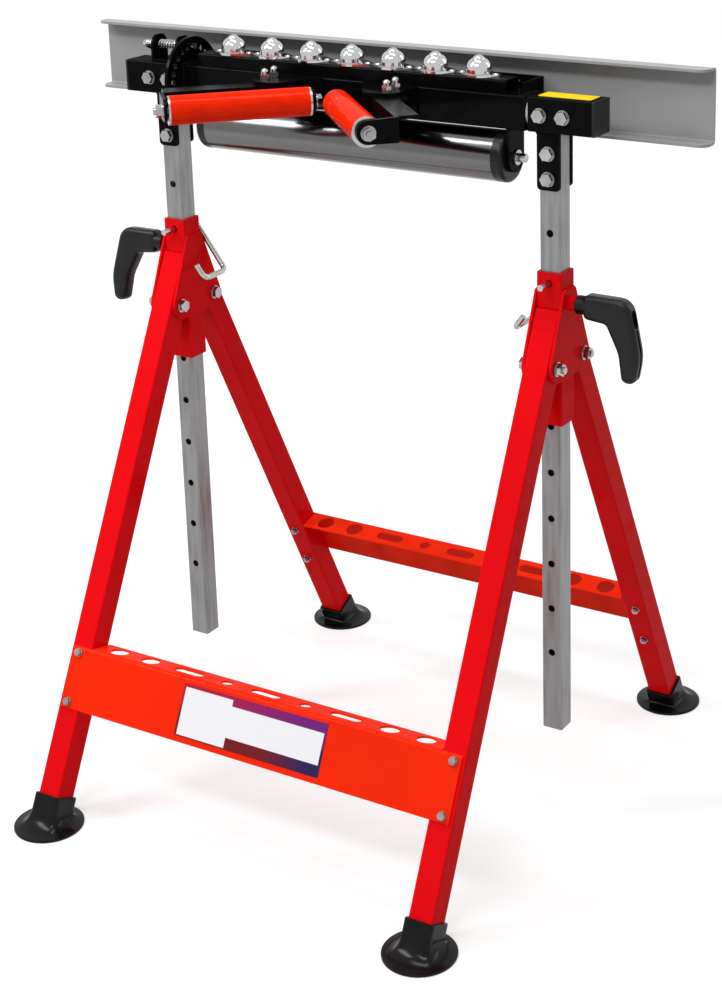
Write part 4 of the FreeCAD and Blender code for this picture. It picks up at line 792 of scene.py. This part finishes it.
gusset_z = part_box("right_sleeve")[1].z - GUSSET_DROP
gusset_seams = []
for side, face in ((side, face) for side in BOTH for face in BOTH):
    x = side * (middle("right_post").x + face * GUSSET_FACE)
    gusset_seams += seam((x, -GUSSET_HALF, gusset_z), (x, GUSSET_HALF, gusset_z))
weld("gusset_welds", gusset_seams, "frame", "red_paint", 7)

# %% [markdown]
# ## The label places
# The crossbar has a place for a printed label, and the stub one for a yellow strip. Both are plain:
# a white field between coloured bands, and one even colour, each on a thin sheet with rounded
# corners.

# %% A thin rounded sheet
SHEET = 0.0003


def thin_sheet(name, width, height, corner, place, finish, body):
    """A rounded rectangle with a thickness, with its place in the mesh."""
    x, y = width / 2, height / 2
    edge = rounded_outline([(-x, -y, corner), (x, -y, corner), (x, y, corner), (-x, y, corner)])
    mesh = skin([[place @ Vector((p.x, p.y, z)) for p in edge] for z in (0, SHEET)])
    hang(name, settled(mesh, finish), body)


def within(axis, low, high, soft=0.0002):
    """One between two values of an axis, zero outside them."""
    return axis.smooth(low - soft, low + soft) * (1 - axis.smooth(high - soft, high + soft))


print("sheet helpers ready")

# %% The label on the front crossbar
LABEL_UP, LABEL_OUT = 0.177, 0.0171
BLOCK_X, BLOCK_Z = (-0.0975, -0.0300), (0.1408, 0.1900)
PANEL_X, PANEL_Z = (-0.0310, 0.0975), (0.1515, 0.1835)
CRIMSON, PURPLE = (0.40, 0.005, 0.030), (0.15, 0.009, 0.17)
DARK_RED, NAVY = (0.15, 0.003, 0.006), (0.012, 0.008, 0.075)
CLEAN_PAPER, SCUFFED_PAPER = (0.82, 0.82, 0.85), (0.74, 0.74, 0.77)

label = Finish("printed_label", (0.80, 0.80, 0.82), 0.32, IOR=1.3)
level, along = label.axis("Z"), label.axis("X")
scuffs = label.noise(120.0, 5.0, 0.65).smooth(0.55, 0.8)
block = within(along, *BLOCK_X) * within(level, *BLOCK_Z)
panel = within(along, *PANEL_X) * within(level, *PANEL_Z)
upper_band = label.blend(along.smooth(-0.09, 0.09), CRIMSON, PURPLE)
lower_band = label.blend(along.smooth(0.01, 0.09), DARK_RED, NAVY)
bands = label.blend(level.smooth(0.163, 0.173), lower_band, upper_band)
field = label.blend(scuffs, CLEAN_PAPER, SCUFFED_PAPER)
label.set("Base Color", label.blend(block + panel - block * panel, bands, field))
label.set("Roughness", scuffs * 0.18 + 0.26)

face_out = Vector((0, -math.cos(LEAN), math.sin(LEAN)))
along_leg = Vector((0, math.sin(LEAN), math.cos(LEAN)))
label_centre = Vector((0, -FOOT_Y, 0)) + along_leg * LABEL_UP + face_out * LABEL_OUT
label_turn = Matrix((Vector((1, 0, 0)), along_leg, face_out)).transposed()
label_place = Matrix.Translation(label_centre) @ label_turn.to_4x4()
thin_sheet("front_label", 0.201, 0.060, 0.0015, label_place, label, "front_legs")

# %% The strip on the right stub
STRIP_X, STRIP_Y, STRIP_LIFT = 0.276, 0.003, 0.0001
strip = Finish("yellow_strip", (0.86, 0.62, 0.008), 0.34, IOR=1.25)
dulled = strip.noise(70.0, 5.0, 0.6)
strip.tint(dulled.smooth(0.4, 0.8), 1.06, 0.82)
strip.set("Roughness", dulled * 0.2 + 0.24)
strip_place = Matrix.Translation((STRIP_X, STRIP_Y, mount_top + STRIP_LIFT))
thin_sheet("stub_strip", 0.064, 0.024, 0.002, strip_place, strip, "carriage")

# %% [markdown]
# ## The studio
# A cut-out product picture stands on white. The floor is a wide pale disc: it keeps the shadow of
# the feet, and the camera sees a little extra light from it so that it reads as white paper. The
# sky is white for the camera and for reflections, and dimmer for everything else.


# %% Floor
def shown(maker):
    """One for rays from the camera and from shiny or clear surfaces, zero for the rest."""
    from_camera, from_shiny, from_clear = (
        maker.make("ShaderNodeLightPath", {}, {}, f"Is {kind} Ray")
        for kind in ("Camera", "Glossy", "Transmission"))
    return from_camera.math("MAXIMUM", from_shiny).math("MAXIMUM", from_clear)


FLOOR_RADIUS, FLOOR_STEPS, FLOOR_DROP = 14, 64, 0.0005
FLOOR_GREY = (0.55, 0.55, 0.55, 1.0)
GLOW_START, GLOW_END, GLOW_NEAR, GLOW_FAR = 0.4, 2.2, 0.54, 0.78

angles = [math.tau * i / FLOOR_STEPS for i in range(FLOOR_STEPS)]
ring = [(FLOOR_RADIUS * math.cos(a), FLOOR_RADIUS * math.sin(a), -FLOOR_DROP) for a in angles]
floor_mesh = bpy.data.meshes.new("studio_floor")
floor_mesh.from_pydata(ring, [], [tuple(range(FLOOR_STEPS))])
floor = new_object("studio_floor", floor_mesh)

paper = bpy.data.materials.new("paper_floor")
paper.use_nodes = True
paper.node_tree.nodes.remove(paper.node_tree.nodes["Principled BSDF"])
maker = NodeMaker(paper.node_tree)
here = maker.make("ShaderNodeTexCoord", {}, {}, "Object")
reach = maker.make("ShaderNodeVectorMath", {"operation": "LENGTH"}, {0: here}, "Value")
fade = reach.smooth(GLOW_START, GLOW_END) * (GLOW_FAR - GLOW_NEAR) + GLOW_NEAR
glow = maker.make("ShaderNodeEmission", {}, {"Strength": fade * shown(maker)})
pale = maker.make("ShaderNodeBsdfDiffuse", {}, {"Color": FLOOR_GREY})
both = maker.make("ShaderNodeAddShader", {}, {0: pale, 1: glow})
maker.put(paper.node_tree.nodes["Material Output"].inputs["Surface"], both)
floor_mesh.materials.append(paper)
print("floor of radius", FLOOR_RADIUS, "m")

# %% Sky
SKY_LIGHT, SKY_SEEN = 0.36, 1.0
sky = bpy.data.worlds.new("studio_sky")
bpy.context.scene.world = sky
sky.use_nodes = True
backdrop = sky.node_tree.nodes["Background"]
backdrop.inputs["Color"].default_value = (1, 1, 1, 1)
maker = NodeMaker(sky.node_tree)
maker.put(backdrop.inputs["Strength"], shown(maker) * (SKY_SEEN - SKY_LIGHT) + SKY_LIGHT)
print("sky lights with", SKY_LIGHT, "and shows as", SKY_SEEN)

# %% [markdown]
# ## Lamps
# The picture's front faces are bright and the faces turned right are dark red, so the main soft
# boxes stand at the left and in front. One overhead lights the flanges and draws a line along the
# rollers, and a narrow one behind gives the tubes an edge.


# %% Soft boxes
def soft_box(name, place, aim, width, height, power):
    lamp = bpy.data.lights.new(name, "AREA")
    lamp.shape = "RECTANGLE"
    lamp.size, lamp.size_y = width, height
    lamp.energy = power
    holder = new_object(name, lamp)
    holder.location = place
    holder.rotation_euler = (Vector(aim) - Vector(place)).to_track_quat("-Z", "Y").to_euler()


soft_box("key_box", (-2.0, -1.7, 3.0), (0, 0, 0.5), width=0.6, height=1.8, power=54)
soft_box("front_box", (0.2, -2.4, 3.0), (0, 0, 0.5), width=1.8, height=0.4, power=42)
soft_box("rim_box", (1.8, 1.9, 1.9), (0, 0, 0.6), width=0.4, height=1.6, power=8)
soft_box("top_box", (0.0, -0.2, 3.0), (0, -0.05, 0.5), width=1.6, height=0.5, power=25)
print("four soft boxes")
